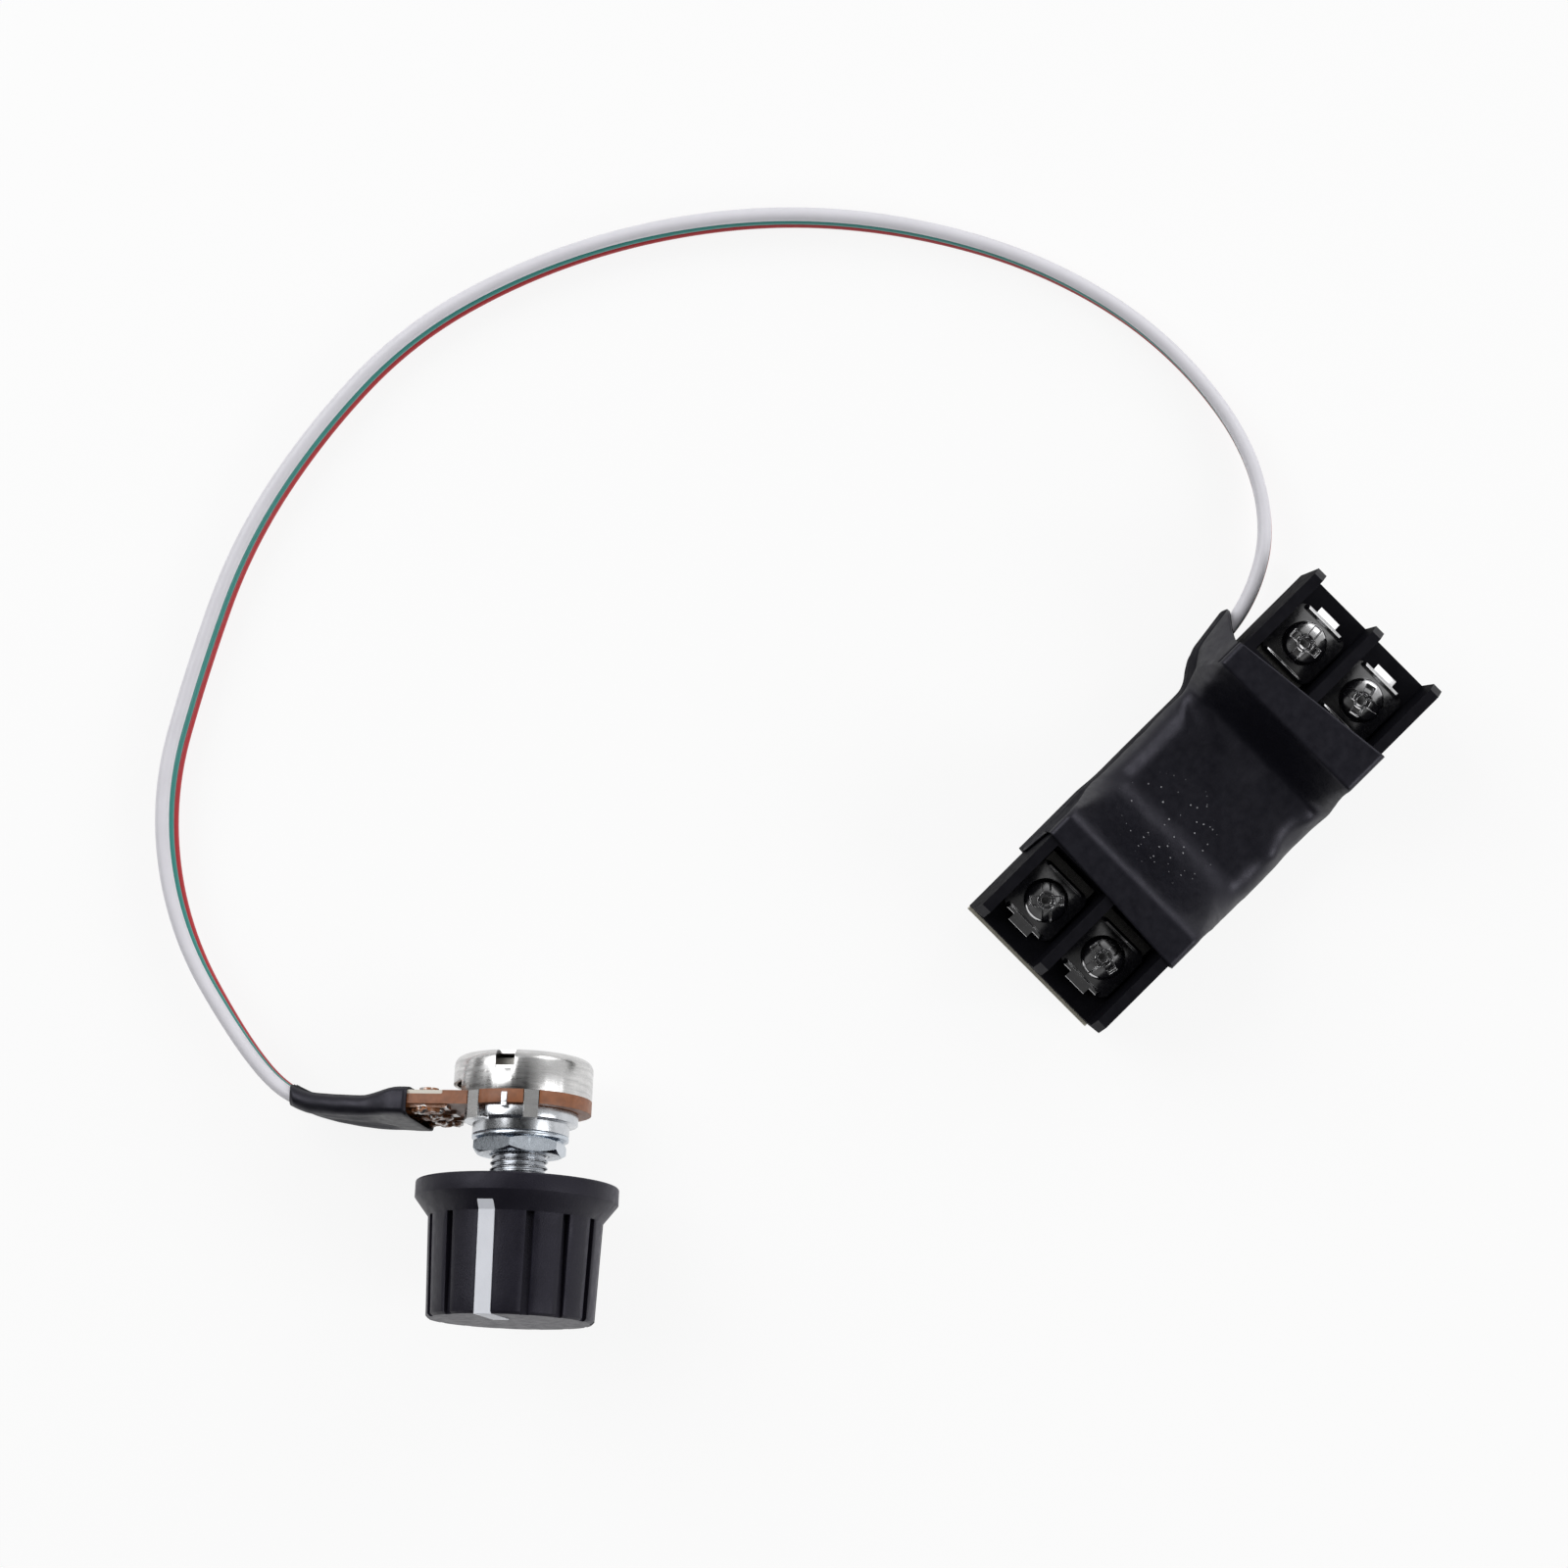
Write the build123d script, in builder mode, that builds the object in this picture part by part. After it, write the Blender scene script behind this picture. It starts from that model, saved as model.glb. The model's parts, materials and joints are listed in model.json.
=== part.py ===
from build123d import *
import math
import os

# LED dimmer: a switching module with a barrier terminal block at each end and a heat-shrink wrap round its
# middle, joined by a flat three-wire ribbon to a 16 mm potentiometer that lies on its side with its knob.
# Sizes in millimetres. The origin is the middle of the module's underside, on the table. X runs along the
# module, from the input block to the output block, Y towards the side where the ribbon leaves, Z up.

# Circuit board, held off the table by the wrap and the soldered pins
board_length = 57.2
board_width = 20.0
board_thickness = 1.6
solder_room = 1.5
pin_stub = 1.2

# Barrier terminal blocks, one at each end of the board
terminal_pitch = 9.5
cells = 2
cell_wall = 1.3
block_depth = 15.5
block_setback = 0.4
rear_wall = 3.5
pedestal_height = 6.0
block_height = 14.6
wall_tip_run = 1.0
wall_tip_drop = 1.6

# Contact strips, one in each cell, with a pin down through the board
strip_thickness = 0.8
strip_width = 6.8
strip_reach = 3.3
pin_back_room = 0.8
pin_thickness = 0.8
pin_width = 1.2
pin_gap = 0.1

# Clamp plates, captive under the screw heads
clamp_side = 7.6
clamp_corner = 1.4
clamp_back_room = 1.5
clamp_thickness = 1.0
clamp_dish = 0.3
clamp_lip_height = 0.6
clamp_lip_width = 0.5
tongue_width = 3.2
tongue_length = 0.9

# Terminal screws, with a cross and slot recess
screw_diameter = 3.0
screw_length = 6.5
head_diameter = 5.3
head_height = 2.2
head_round = 0.5
head_margin = 0.45
recess_width = 1.0
recess_span = 3.2
recess_depth = 1.2
slot_width = 0.8
slot_depth = 0.7
thread_gap = 0.05
turning_gap = 0.08
well_gap = 0.35
well_spare = 0.3
output_slot_angles = (-77, 3)
input_slot_angles = (45, -10)

# Heat-shrink wrap: bare length of each block at the ribbon's side and at the far side
wrap_wall = 0.5
wrap_gap = 0.05
output_bare_near = 12.8
output_bare_far = 10.3
input_bare_near = 12.4
input_bare_far = 11.3
component_room = 6.4
output_drop = 3.2
input_drop = 5.6
ridge_round = 0.8
foot_round = 3.0

# Swell of the wrap between the blocks, on the side away from the ribbon
swell_reach = 1.6
swell_taper = 3.4
swell_base = 0.8
swell_drop = 1.2

# Fold of the wrap that the ribbon comes out of
fold_mouth = 18.0
fold_taper = 10.2
fold_gap = 0.3

# Parts on the board, under the wrap
transistor_body = (6.1, 6.6, 2.3)
transistor_tab = (3.0, 5.4, 0.5)
transistor_lead = (2.7, 0.8, 0.5)
transistor_spot = (4.2, -5.6)
capacitor_base = 5.3
capacitor_base_height = 0.8
capacitor_radius = 2.5
capacitor_height = 5.8
capacitor_spot = (2.2, 2.4)
chip_body = (4.9, 3.9, 1.5)
chip_lead = (0.4, 1.05, 0.25)
chip_pitch = 1.27
chip_spot = (-6.6, 5.0)
diode_body = (4.3, 2.6, 2.1)
diode_tab = (1.2, 1.5, 0.3)
diode_spot = (-6.4, -6.4)
resistor_size = (2.0, 1.25, 0.5)
resistor_spots = ((-8.6, -1.8), (-5.4, -1.8), (-2.2, 7.6))
ceramic_size = (2.0, 1.25, 1.0)
ceramic_spots = ((-2.2, 5.0), (-2.6, 1.0))
glass_diode_radius = 0.75
glass_diode_length = 3.5
glass_diode_spots = ((-2.6, -7.6), (-2.6, -3.6))

# Potentiometer: where its axis meets the can's back seen from above, the way the axis points, and how far
# the lugs hang below level
pot_place = (-78.83, 34.78)
pot_heading = 223.0
pot_roll = 8.5
can_radius = 8.25
can_depth = 4.8
can_wall = 0.4
can_corner = 1.2
cutaway_depth = 1.4
cutaway_width = 11.0
tab_width = 1.7
tab_angles = (58, -58, 110, -110)
tab_thickness = 0.28
tab_root = 0.5
tab_fold = 1.9
tab_gap = 0.1
stop_tab_width = 2.3
stop_tab_height = 2.0
stop_notch_depth = 1.7
stop_tab_thickness = 0.6
stop_tab_reach = 1.9
stop_tab_angle = -86.5

# Wafer and its lugs
wafer_thickness = 1.6
wafer_hole_radius = 4.2
leg_width = 13.0
leg_reach = 13.5
leg_corner = 0.8
lug_pitch = 4.8
lug_width = 2.2
lug_thickness = 0.4
lug_root = 7.7
lug_tip = 16.0
rivet_radius = 0.7
rivet_head_radius = 1.15
rivet_head_height = 0.4
rivet_reach = 10.2

# Front plate, boss and threaded bushing, in one casting
plate_radius = 6.75
plate_thickness = 1.4
boss_radius = 5.75
boss_height = 1.4
thread_diameter = 7.0
thread_relief = 0.05
bushing_length = 6.3
bushing_chamfer = 0.35
journal_radius = 2.5
journal_gap = 0.05

# Lock washer and panel nut
washer_radius = 5.75
washer_thickness = 0.5
washer_teeth = 8
washer_tooth_gap = 1.0
washer_tooth_depth = 0.7
nut_flats = 10.0
nut_thickness = 1.8
nut_corner_angle = 8.1
nut_chamfer = 0.45
thread_showing = 3.45

# Shaft, clip, rotor and wiper
shaft_radius = 3.0
shaft_end_gap = 0.1
split_width = 1.0
split_depth = 7.0
knurl_count = 18
knurl_depth = 0.25
clip_radius = 3.8
clip_thickness = 0.5
clip_groove_radius = 2.0
clip_gap = 0.06
clip_play = 0.2
clip_mouth = 60
tang_radius = 2.2
tang_thickness = 3.2
rotor_clearance = 0.3
rotor_hub_radius = 5.7
rotor_flange = 0.8
rotor_edge_gap = 0.5
wiper_thickness = 0.2
wiper_inner_radius = 3.0
wiper_outer_radius = 6.4
wiper_finger_width = 1.2
wiper_gap = 0.08
wiper_room = 1.0
knob_travel = 300
stop_margin = 0.5
pointer_at_start = 30

# Knob and its pointer
knob_height = 16.0
flange_radius = 12.0
flange_edge = 0.3
rim_width = 2.0
taper_width = 2.2
knob_body_radius = 10.3
knob_front_radius = 9.85
knob_wall = 2.2
knob_face = 2.5
knob_front_edge = 0.3
hub_radius = 5.0
hub_setback = 1.8
shaft_gap = 0.03
groove_count = 13
groove_first = 28.5
groove_pitch = 25.25
groove_width = 1.0
groove_depth = 0.5
pointer_angle = 14.7
pointer_width = 1.95
pointer_end_radius = 3.1
pointer_sink = 0.5
pointer_raise = 0.1

# Ribbon of three wires, stacked on edge, and the sleeve over the lugs
wire_diameter = 1.65
wire_pitch = 1.7
ribbon_lean = 11
lug_lead = 4.1
sleeve_wall = 0.35
sleeve_gap = 0.1
sleeve_overrun = 0.8
sleeve_round = 0.9
tail_diameter = 0.9
tail_hole_gap = 0.1
tail_bend = 1.0
tail_first = 1.4
tail_step = 1.6

# Middle wire's route, from the lug sleeve round to the fold in the wrap and on to the board
ribbon_route = [
    (-100.9, 51.0, 5.5),
    (-102.0, 59.7, 4.8),
    (-97.8, 75.4, 4.0),
    (-88.1, 88.2, 3.1),
    (-74.0, 96.2, 2.7),
    (-59.5, 103.1, 2.6),
    (-43.7, 106.4, 2.6),
    (-27.6, 106.9, 2.6),
    (-12.1, 102.5, 2.6),
    (2.2, 95.1, 2.6),
    (14.9, 85.1, 2.6),
    (25.1, 72.9, 2.6),
    (32.9, 58.7, 2.6),
    (36.8, 43.2, 2.7),
    (35.6, 27.6, 3.3),
    (29.8, 17.2, 4.7),
    (21.5, 12.4, 6.0),
    (12.8, 11.5, 6.6),
    (8.6, 9.4, 6.7),
]

# Levels and stations that follow from the sizes above
board_underside = wrap_wall + solder_room
board_top = board_underside + board_thickness
block_width = cells * terminal_pitch + cell_wall
block_front = board_length / 2 - block_setback
block_back = block_front - block_depth
screw_inset = block_depth - rear_wall - clamp_back_room - clamp_side / 2
strip_front = screw_inset - strip_reach
pin_inset = block_depth - rear_wall - pin_back_room
clamp_base = pedestal_height + strip_thickness
head_base = clamp_base + clamp_thickness - clamp_dish
wafer_front = can_depth + wafer_thickness
plate_front = wafer_front + plate_thickness
boss_front = plate_front + boss_height
washer_front = boss_front + washer_thickness
nut_front = washer_front + nut_thickness
bushing_front = boss_front + bushing_length
knob_back = nut_front + thread_showing
knob_front = knob_back + knob_height
thread_radius = thread_diameter / 2 - thread_relief
knob_cavity_end = knob_front - knob_face

# The potentiometer lies on the rounded edge of its can and on the knob's flange, which sets its tilt
rest_run = knob_back + flange_edge - can_corner
rest_rise = (flange_radius - flange_edge) - (can_radius - can_corner)
rest_reach = math.hypot(rest_run, rest_rise)
pot_tilt = math.atan2(rest_rise, rest_run) + math.asin((flange_edge - can_corner) / rest_reach)
pot_height = can_corner - can_corner * math.sin(pot_tilt) + (can_radius - can_corner) * math.cos(pot_tilt)
heading = math.radians(pot_heading)
axis_level = math.cos(pot_tilt)
axis_rise = math.sin(pot_tilt)
axis_along = (math.cos(heading) * axis_level, math.sin(heading) * axis_level, axis_rise)
axis_up = (-math.cos(heading) * axis_rise, -math.sin(heading) * axis_rise, axis_level)


def turned(plane, degrees):
    """The plane turned about its own z."""
    return plane.moved(Location((0, 0, 0), (0, 0, degrees)))


# Planes across the potentiometer: x up in pot and towards the lugs in lug_side, z along the axis to the knob
pot = Plane(origin=(*pot_place, pot_height), x_dir=axis_up, z_dir=axis_along)
pot_axis = Axis(pot.origin, pot.z_dir)
pot_section = Plane(origin=pot.origin, x_dir=pot.x_dir, z_dir=-pot.y_dir)
lug_angle = 90 + pot_roll
lug_side = turned(pot, lug_angle)
lug_row = lug_side.offset(wafer_front + lug_thickness / 2)
pointer_side = turned(pot, pointer_angle)

# Seats of the two blocks on the board: x points out of the block's open side
output_seat = Plane(origin=(block_front, 0, board_top), x_dir=(1, 0, 0), z_dir=(0, 0, 1))
input_seat = Plane(origin=(-block_front, 0, board_top), x_dir=(-1, 0, 0), z_dir=(0, 0, 1))
seats = (output_seat, input_seat)
cell_offsets = [(i - (cells - 1) / 2) * terminal_pitch for i in range(cells)]


def save(part, name):
    part.label = name
    export_step(part, f"parts/{name}.step")


def upright(seat):
    """Plane standing on a seat, with x out of the block and y up."""
    return Plane(origin=seat.origin, x_dir=seat.x_dir, z_dir=-seat.y_dir)


def radial(side):
    """Plane through the potentiometer's axis, with x along the given plane's x and y along the axis."""
    return Plane(origin=side.origin, x_dir=side.x_dir, z_dir=-side.y_dir)


def pin_spots():
    """Where the contact pins cross the board, in X and Y."""
    return [seat.from_local_coords((-pin_inset, y, 0)) for seat in seats for y in cell_offsets]


def tail_heading():
    last = Vector(ribbon_route[-1]) - Vector(ribbon_route[-2])
    return Vector(last.X, last.Y, 0).normalized()


def tail_corner(level):
    """Point above the board where a wire's stripped end turns down; level is 1, 0 or -1 from the top."""
    reach = tail_first + (level + 1) * tail_step
    return Vector(ribbon_points(level)[-1]) + tail_heading() * reach


def ribbon_points(level):
    """Route of one wire: the middle wire's route, shifted across the leaning ribbon."""
    points = []
    last = len(ribbon_route) - 1
    for i, (x, y, z) in enumerate(ribbon_route):
        before = ribbon_route[max(i - 1, 0)]
        after = ribbon_route[min(i + 1, last)]
        course = math.atan2(after[1] - before[1], after[0] - before[0])
        lean = math.radians(ribbon_lean) * math.sqrt(abs(math.sin(math.pi * i / last)))
        aside = level * wire_pitch * math.sin(lean)
        rise = level * wire_pitch * math.cos(lean)
        points.append((x - aside * math.sin(course), y + aside * math.cos(course), z + rise))
    return points


def lug_point(reach, level):
    return lug_row.from_local_coords((reach, -level * lug_pitch, 0))


def wire_points(level):
    start = [lug_point(lug_tip, level), lug_point(lug_tip + lug_lead, level)]
    return start + [Vector(p) for p in ribbon_points(level)]


def bend_radii(points):
    """The largest arc that each corner's two runs leave room for."""
    radii = []
    for before, corner, after in zip(points, points[1:], points[2:]):
        run_in = corner - before
        run_out = after - corner
        half_turn = math.radians(run_in.get_angle(run_out)) / 2
        radii.append(0.45 * min(run_in.length, run_out.length) / math.tan(half_turn))
    return radii


os.makedirs("parts", exist_ok=True)

# Circuit board, with holes for the contact pins and the wires' stripped ends
with BuildPart() as circuit_board:
    with BuildSketch(Plane.XY.offset(board_underside)):
        Rectangle(board_length, board_width)
        with Locations(*[(p.X, p.Y) for p in pin_spots()]):
            Rectangle(pin_thickness + 2 * pin_gap, pin_width + 2 * pin_gap, mode=Mode.SUBTRACT)
        with Locations(*[(tail_corner(level).X, tail_corner(level).Y) for level in (1, 0, -1)]):
            Circle(tail_diameter / 2 + tail_hole_gap, mode=Mode.SUBTRACT)
    extrude(amount=board_thickness)
save(circuit_board.part, "circuit_board")


def make_terminal_block(seat, name):
    with BuildPart() as block:
        with BuildSketch(seat):
            with Locations((-block_depth / 2, 0)):
                Rectangle(block_depth, block_width)
        extrude(amount=pedestal_height)
        with BuildSketch(seat.offset(pedestal_height)):
            with Locations(*[(-block_depth / 2, (i - cells / 2) * terminal_pitch) for i in range(cells + 1)]):
                Rectangle(block_depth, cell_wall)
            with Locations((rear_wall / 2 - block_depth, 0)):
                Rectangle(rear_wall, block_width)
        extrude(amount=block_height - pedestal_height)
        with BuildSketch(upright(seat)):
            with BuildLine():
                Polyline(
                    (0, block_height),
                    (-wall_tip_run, block_height),
                    (0, block_height - wall_tip_drop),
                    close=True,
                )
            make_face()
        extrude(amount=block_width, both=True, mode=Mode.SUBTRACT)
        with BuildSketch(seat.offset(pedestal_height)):
            with Locations(*[(-screw_inset, y) for y in cell_offsets]):
                Circle(screw_diameter / 2 + well_gap)
        extrude(amount=head_base - pedestal_height - screw_length - well_spare, mode=Mode.SUBTRACT)
        with BuildSketch(seat):
            with Locations(*[(-pin_inset, y) for y in cell_offsets]):
                Rectangle(pin_thickness + 2 * pin_gap, pin_width + 2 * pin_gap)
        extrude(amount=pedestal_height, mode=Mode.SUBTRACT)
    save(block.part, name)


def make_contact_strip(seat, y, name):
    strip_back = pin_inset + pin_thickness / 2
    with BuildPart() as strip:
        with BuildSketch(seat.offset(pedestal_height)):
            with Locations((-(strip_front + strip_back) / 2, y)):
                Rectangle(strip_back - strip_front, strip_width)
            with Locations((-screw_inset, y)):
                Circle(screw_diameter / 2 + thread_gap, mode=Mode.SUBTRACT)
        extrude(amount=strip_thickness)
        with BuildSketch(seat.offset(pedestal_height)):
            with Locations((-pin_inset, y)):
                Rectangle(pin_thickness, pin_width)
        extrude(amount=-(pedestal_height + board_thickness + pin_stub))
    save(strip.part, name)


def make_clamp_plate(seat, y, name):
    with BuildPart() as clamp:
        with BuildSketch(seat.offset(clamp_base)):
            with Locations((-screw_inset, y)):
                RectangleRounded(clamp_side, clamp_side, clamp_corner)
            with Locations((clamp_side / 2 - screw_inset, y)):
                Rectangle(2 * tongue_length, tongue_width)
            with Locations((-screw_inset, y)):
                Circle(screw_diameter / 2 + turning_gap, mode=Mode.SUBTRACT)
        extrude(amount=clamp_thickness)
        with BuildSketch(seat.offset(clamp_base + clamp_thickness)):
            with Locations((clamp_lip_width / 2 - clamp_side / 2 - screw_inset, y)):
                Rectangle(clamp_lip_width, clamp_side - 2 * clamp_corner)
        extrude(amount=clamp_lip_height)
        with BuildSketch(seat.offset(clamp_base + clamp_thickness)):
            with Locations((-screw_inset, y)):
                Circle(head_diameter / 2 + head_margin)
        extrude(amount=-clamp_dish, mode=Mode.SUBTRACT)
    save(clamp.part, name)


def make_terminal_screw(seat, y, slot_angle, name):
    with BuildPart() as screw:
        with BuildSketch(seat.offset(head_base)):
            with Locations((-screw_inset, y)):
                Circle(head_diameter / 2)
        extrude(amount=head_height)
        fillet(screw.edges().sort_by(Axis.Z)[-1], radius=head_round)
        with BuildSketch(seat.offset(head_base)):
            with Locations((-screw_inset, y)):
                Circle(screw_diameter / 2)
        extrude(amount=-screw_length)
        with BuildSketch(seat.offset(head_base + head_height)):
            with Locations((-screw_inset, y)):
                Rectangle(recess_span, recess_width, rotation=slot_angle)
                Rectangle(recess_width, recess_span, rotation=slot_angle)
        extrude(amount=-recess_depth, mode=Mode.SUBTRACT)
        with BuildSketch(seat.offset(head_base + head_height)):
            with Locations((-screw_inset, y)):
                Rectangle(head_diameter, slot_width, rotation=slot_angle)
        extrude(amount=-slot_depth, mode=Mode.SUBTRACT)
    save(screw.part, name)


make_terminal_block(output_seat, "output_terminal_block")
make_terminal_block(input_seat, "input_terminal_block")
terminals = list(zip([output_seat] * cells, cell_offsets, output_slot_angles))
terminals += list(zip([input_seat] * cells, cell_offsets, input_slot_angles))
for number, (seat, y, slot_angle) in enumerate(terminals, start=1):
    make_contact_strip(seat, y, f"contact_strip_{number}")
    make_clamp_plate(seat, y, f"clamp_plate_{number}")
    make_terminal_screw(seat, y, slot_angle, f"terminal_screw_{number}")

# Heat-shrink wrap: a tube that drops from the rear walls of the blocks to the parts between them
wrap_half = block_width / 2 + wrap_gap + wrap_wall
wrap_top = board_top + block_height + wrap_gap + wrap_wall
wrap_middle = board_top + component_room + wrap_wall
wrap_ridge = block_back - wrap_gap - wrap_wall
swell_height = wrap_middle - swell_drop - swell_base
fold_low = ribbon_points(-1)[-3][2] - wire_diameter / 2 - fold_gap
fold_high = ribbon_points(1)[-1][2] + wire_diameter / 2 + fold_gap
channel_half = wire_diameter / 2 + fold_gap


def end_cut(near, far, sign):
    """Slanted plane across the wrap's end, facing out of it."""
    slant = (near - far) / block_width
    middle = block_front - (near + far) / 2
    return Plane(origin=(sign * middle, 0, 0), x_dir=(-slant, sign, 0), z_dir=(sign, slant, 0))


def ribbon_side(index, aside):
    """Point beside the ribbon's route in plan, on its outer side where aside is positive."""
    x, y, _ = ribbon_route[index]
    before = ribbon_route[index - 1]
    after = ribbon_route[index + 1] if index < -1 else ribbon_route[index]
    course = math.atan2(after[1] - before[1], after[0] - before[0])
    return (x + aside * math.sin(course), y - aside * math.cos(course))


with BuildPart() as wrap:
    with BuildSketch(Plane.XZ) as wrap_outline:
        with BuildLine():
            FilletPolyline(
                (block_front, wrap_top),
                (wrap_ridge, wrap_top),
                (wrap_ridge - output_drop, wrap_middle),
                (input_drop - wrap_ridge, wrap_middle),
                (-wrap_ridge, wrap_top),
                (-block_front, wrap_top),
                radius=[ridge_round, foot_round, foot_round, ridge_round],
            )
            Polyline((-block_front, wrap_top), (-block_front, 0), (block_front, 0), (block_front, wrap_top))
        make_face()
    extrude(amount=wrap_half, both=True)
    with BuildSketch(Plane.XZ):
        add(wrap_outline.sketch_local)
        offset(amount=-wrap_wall, mode=Mode.REPLACE)
    extrude(amount=wrap_half - wrap_wall, both=True, mode=Mode.SUBTRACT)
    with BuildSketch(Plane.XY.offset(swell_base)):
        with BuildLine():
            Polyline(
                (wrap_ridge, wrap_wall - wrap_half),
                (wrap_ridge, -wrap_half),
                (wrap_ridge - swell_taper, -wrap_half - swell_reach),
                (swell_taper - wrap_ridge, -wrap_half - swell_reach),
                (-wrap_ridge, -wrap_half),
                (-wrap_ridge, wrap_wall - wrap_half),
                close=True,
            )
        make_face()
    extrude(amount=swell_height)
    with BuildSketch(Plane.XY.offset(swell_base + wrap_wall)):
        with BuildLine():
            Polyline(
                (wrap_ridge - 2 * wrap_wall, wrap_wall - wrap_half),
                (wrap_ridge - swell_taper, wrap_wall - wrap_half - swell_reach),
                (swell_taper - wrap_ridge, wrap_wall - wrap_half - swell_reach),
                (2 * wrap_wall - wrap_ridge, wrap_wall - wrap_half),
                close=True,
            )
        make_face()
    extrude(amount=swell_height - 2 * wrap_wall, mode=Mode.SUBTRACT)
    split(bisect_by=end_cut(output_bare_near, output_bare_far, 1), keep=Keep.BOTTOM)
    split(bisect_by=end_cut(input_bare_near, input_bare_far, -1), keep=Keep.BOTTOM)
    with BuildSketch(Plane.XY.offset(fold_low - wrap_wall)):
        with BuildLine():
            Polyline(
                (fold_mouth, block_width / 2 + wrap_gap),
                (fold_mouth, ribbon_side(-3, channel_half + wrap_wall)[1]),
                ribbon_side(-2, channel_half + wrap_wall),
                (fold_mouth - fold_taper, wrap_half),
                (fold_mouth - fold_taper, block_width / 2 + wrap_gap),
                close=True,
            )
        make_face()
    extrude(amount=fold_high - fold_low + 2 * wrap_wall)
    with BuildSketch(Plane.XY.offset(fold_low)):
        with BuildLine():
            Polyline(
                ribbon_side(-3, channel_half),
                ribbon_side(-2, channel_half),
                ribbon_side(-1, channel_half),
                ribbon_side(-1, -2 * channel_half),
                (block_back - wrap_gap, block_width / 2 + wrap_gap),
                (fold_mouth, block_width / 2 + wrap_gap),
                ribbon_side(-3, -channel_half),
                close=True,
            )
        make_face()
    extrude(amount=fold_high - fold_low, mode=Mode.SUBTRACT)
save(wrap.part, "module_wrap")

# Power transistor: moulded body, metal tab and two leads
with BuildPart(Plane((*transistor_spot, board_top))) as transistor:
    Box(*transistor_body, align=(Align.CENTER, Align.CENTER, Align.MIN))
    with Locations((transistor_body[0] / 2, 0, 0)):
        Box(2 * transistor_tab[0], *transistor_tab[1:], align=(Align.CENTER, Align.CENTER, Align.MIN))
    with Locations(*[(-transistor_body[0] / 2, side * transistor_body[1] / 3, 0) for side in (-1, 1)]):
        Box(2 * transistor_lead[0], *transistor_lead[1:], align=(Align.CENTER, Align.CENTER, Align.MIN))
save(transistor.part, "power_transistor")

# Supply capacitor: a can on a square base
with BuildPart(Plane((*capacitor_spot, board_top))) as capacitor:
    Box(
        capacitor_base,
        capacitor_base,
        capacitor_base_height,
        align=(Align.CENTER, Align.CENTER, Align.MIN),
    )
    Cylinder(capacitor_radius, capacitor_height, align=(Align.CENTER, Align.CENTER, Align.MIN))
save(capacitor.part, "supply_capacitor")

# Timer chip: a body with four leads along each side
with BuildPart(Plane((*chip_spot, board_top))) as chip:
    with Locations((0, 0, chip_lead[2])):
        Box(*chip_body, align=(Align.CENTER, Align.CENTER, Align.MIN))
    with GridLocations(chip_pitch, chip_body[1] + chip_lead[1], 4, 2):
        Box(chip_lead[0], chip_lead[1], 2 * chip_lead[2], align=(Align.CENTER, Align.CENTER, Align.MIN))
save(chip.part, "timer_chip")

# Flyback diode: a body with a tab under each end
with BuildPart(Plane((*diode_spot, board_top))) as diode:
    Box(*diode_body, align=(Align.CENTER, Align.CENTER, Align.MIN))
    with GridLocations(diode_body[0], 1, 2, 1):
        Box(*diode_tab, align=(Align.CENTER, Align.CENTER, Align.MIN))
save(diode.part, "flyback_diode")

with BuildPart(Plane.XY.offset(board_top)) as resistors:
    with Locations(*resistor_spots):
        Box(*resistor_size, align=(Align.CENTER, Align.CENTER, Align.MIN))
save(resistors.part, "resistors")

with BuildPart(Plane.XY.offset(board_top)) as ceramics:
    with Locations(*ceramic_spots):
        Box(*ceramic_size, align=(Align.CENTER, Align.CENTER, Align.MIN))
save(ceramics.part, "timing_capacitors")

with BuildPart() as glass_diodes:
    for x, y in glass_diode_spots:
        lying = Plane(origin=(x, y, board_top + glass_diode_radius), x_dir=(1, 0, 0), z_dir=(0, 1, 0))
        with BuildSketch(lying):
            Circle(glass_diode_radius)
        extrude(amount=glass_diode_length / 2, both=True)
save(glass_diodes.part, "steering_diodes")

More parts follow.
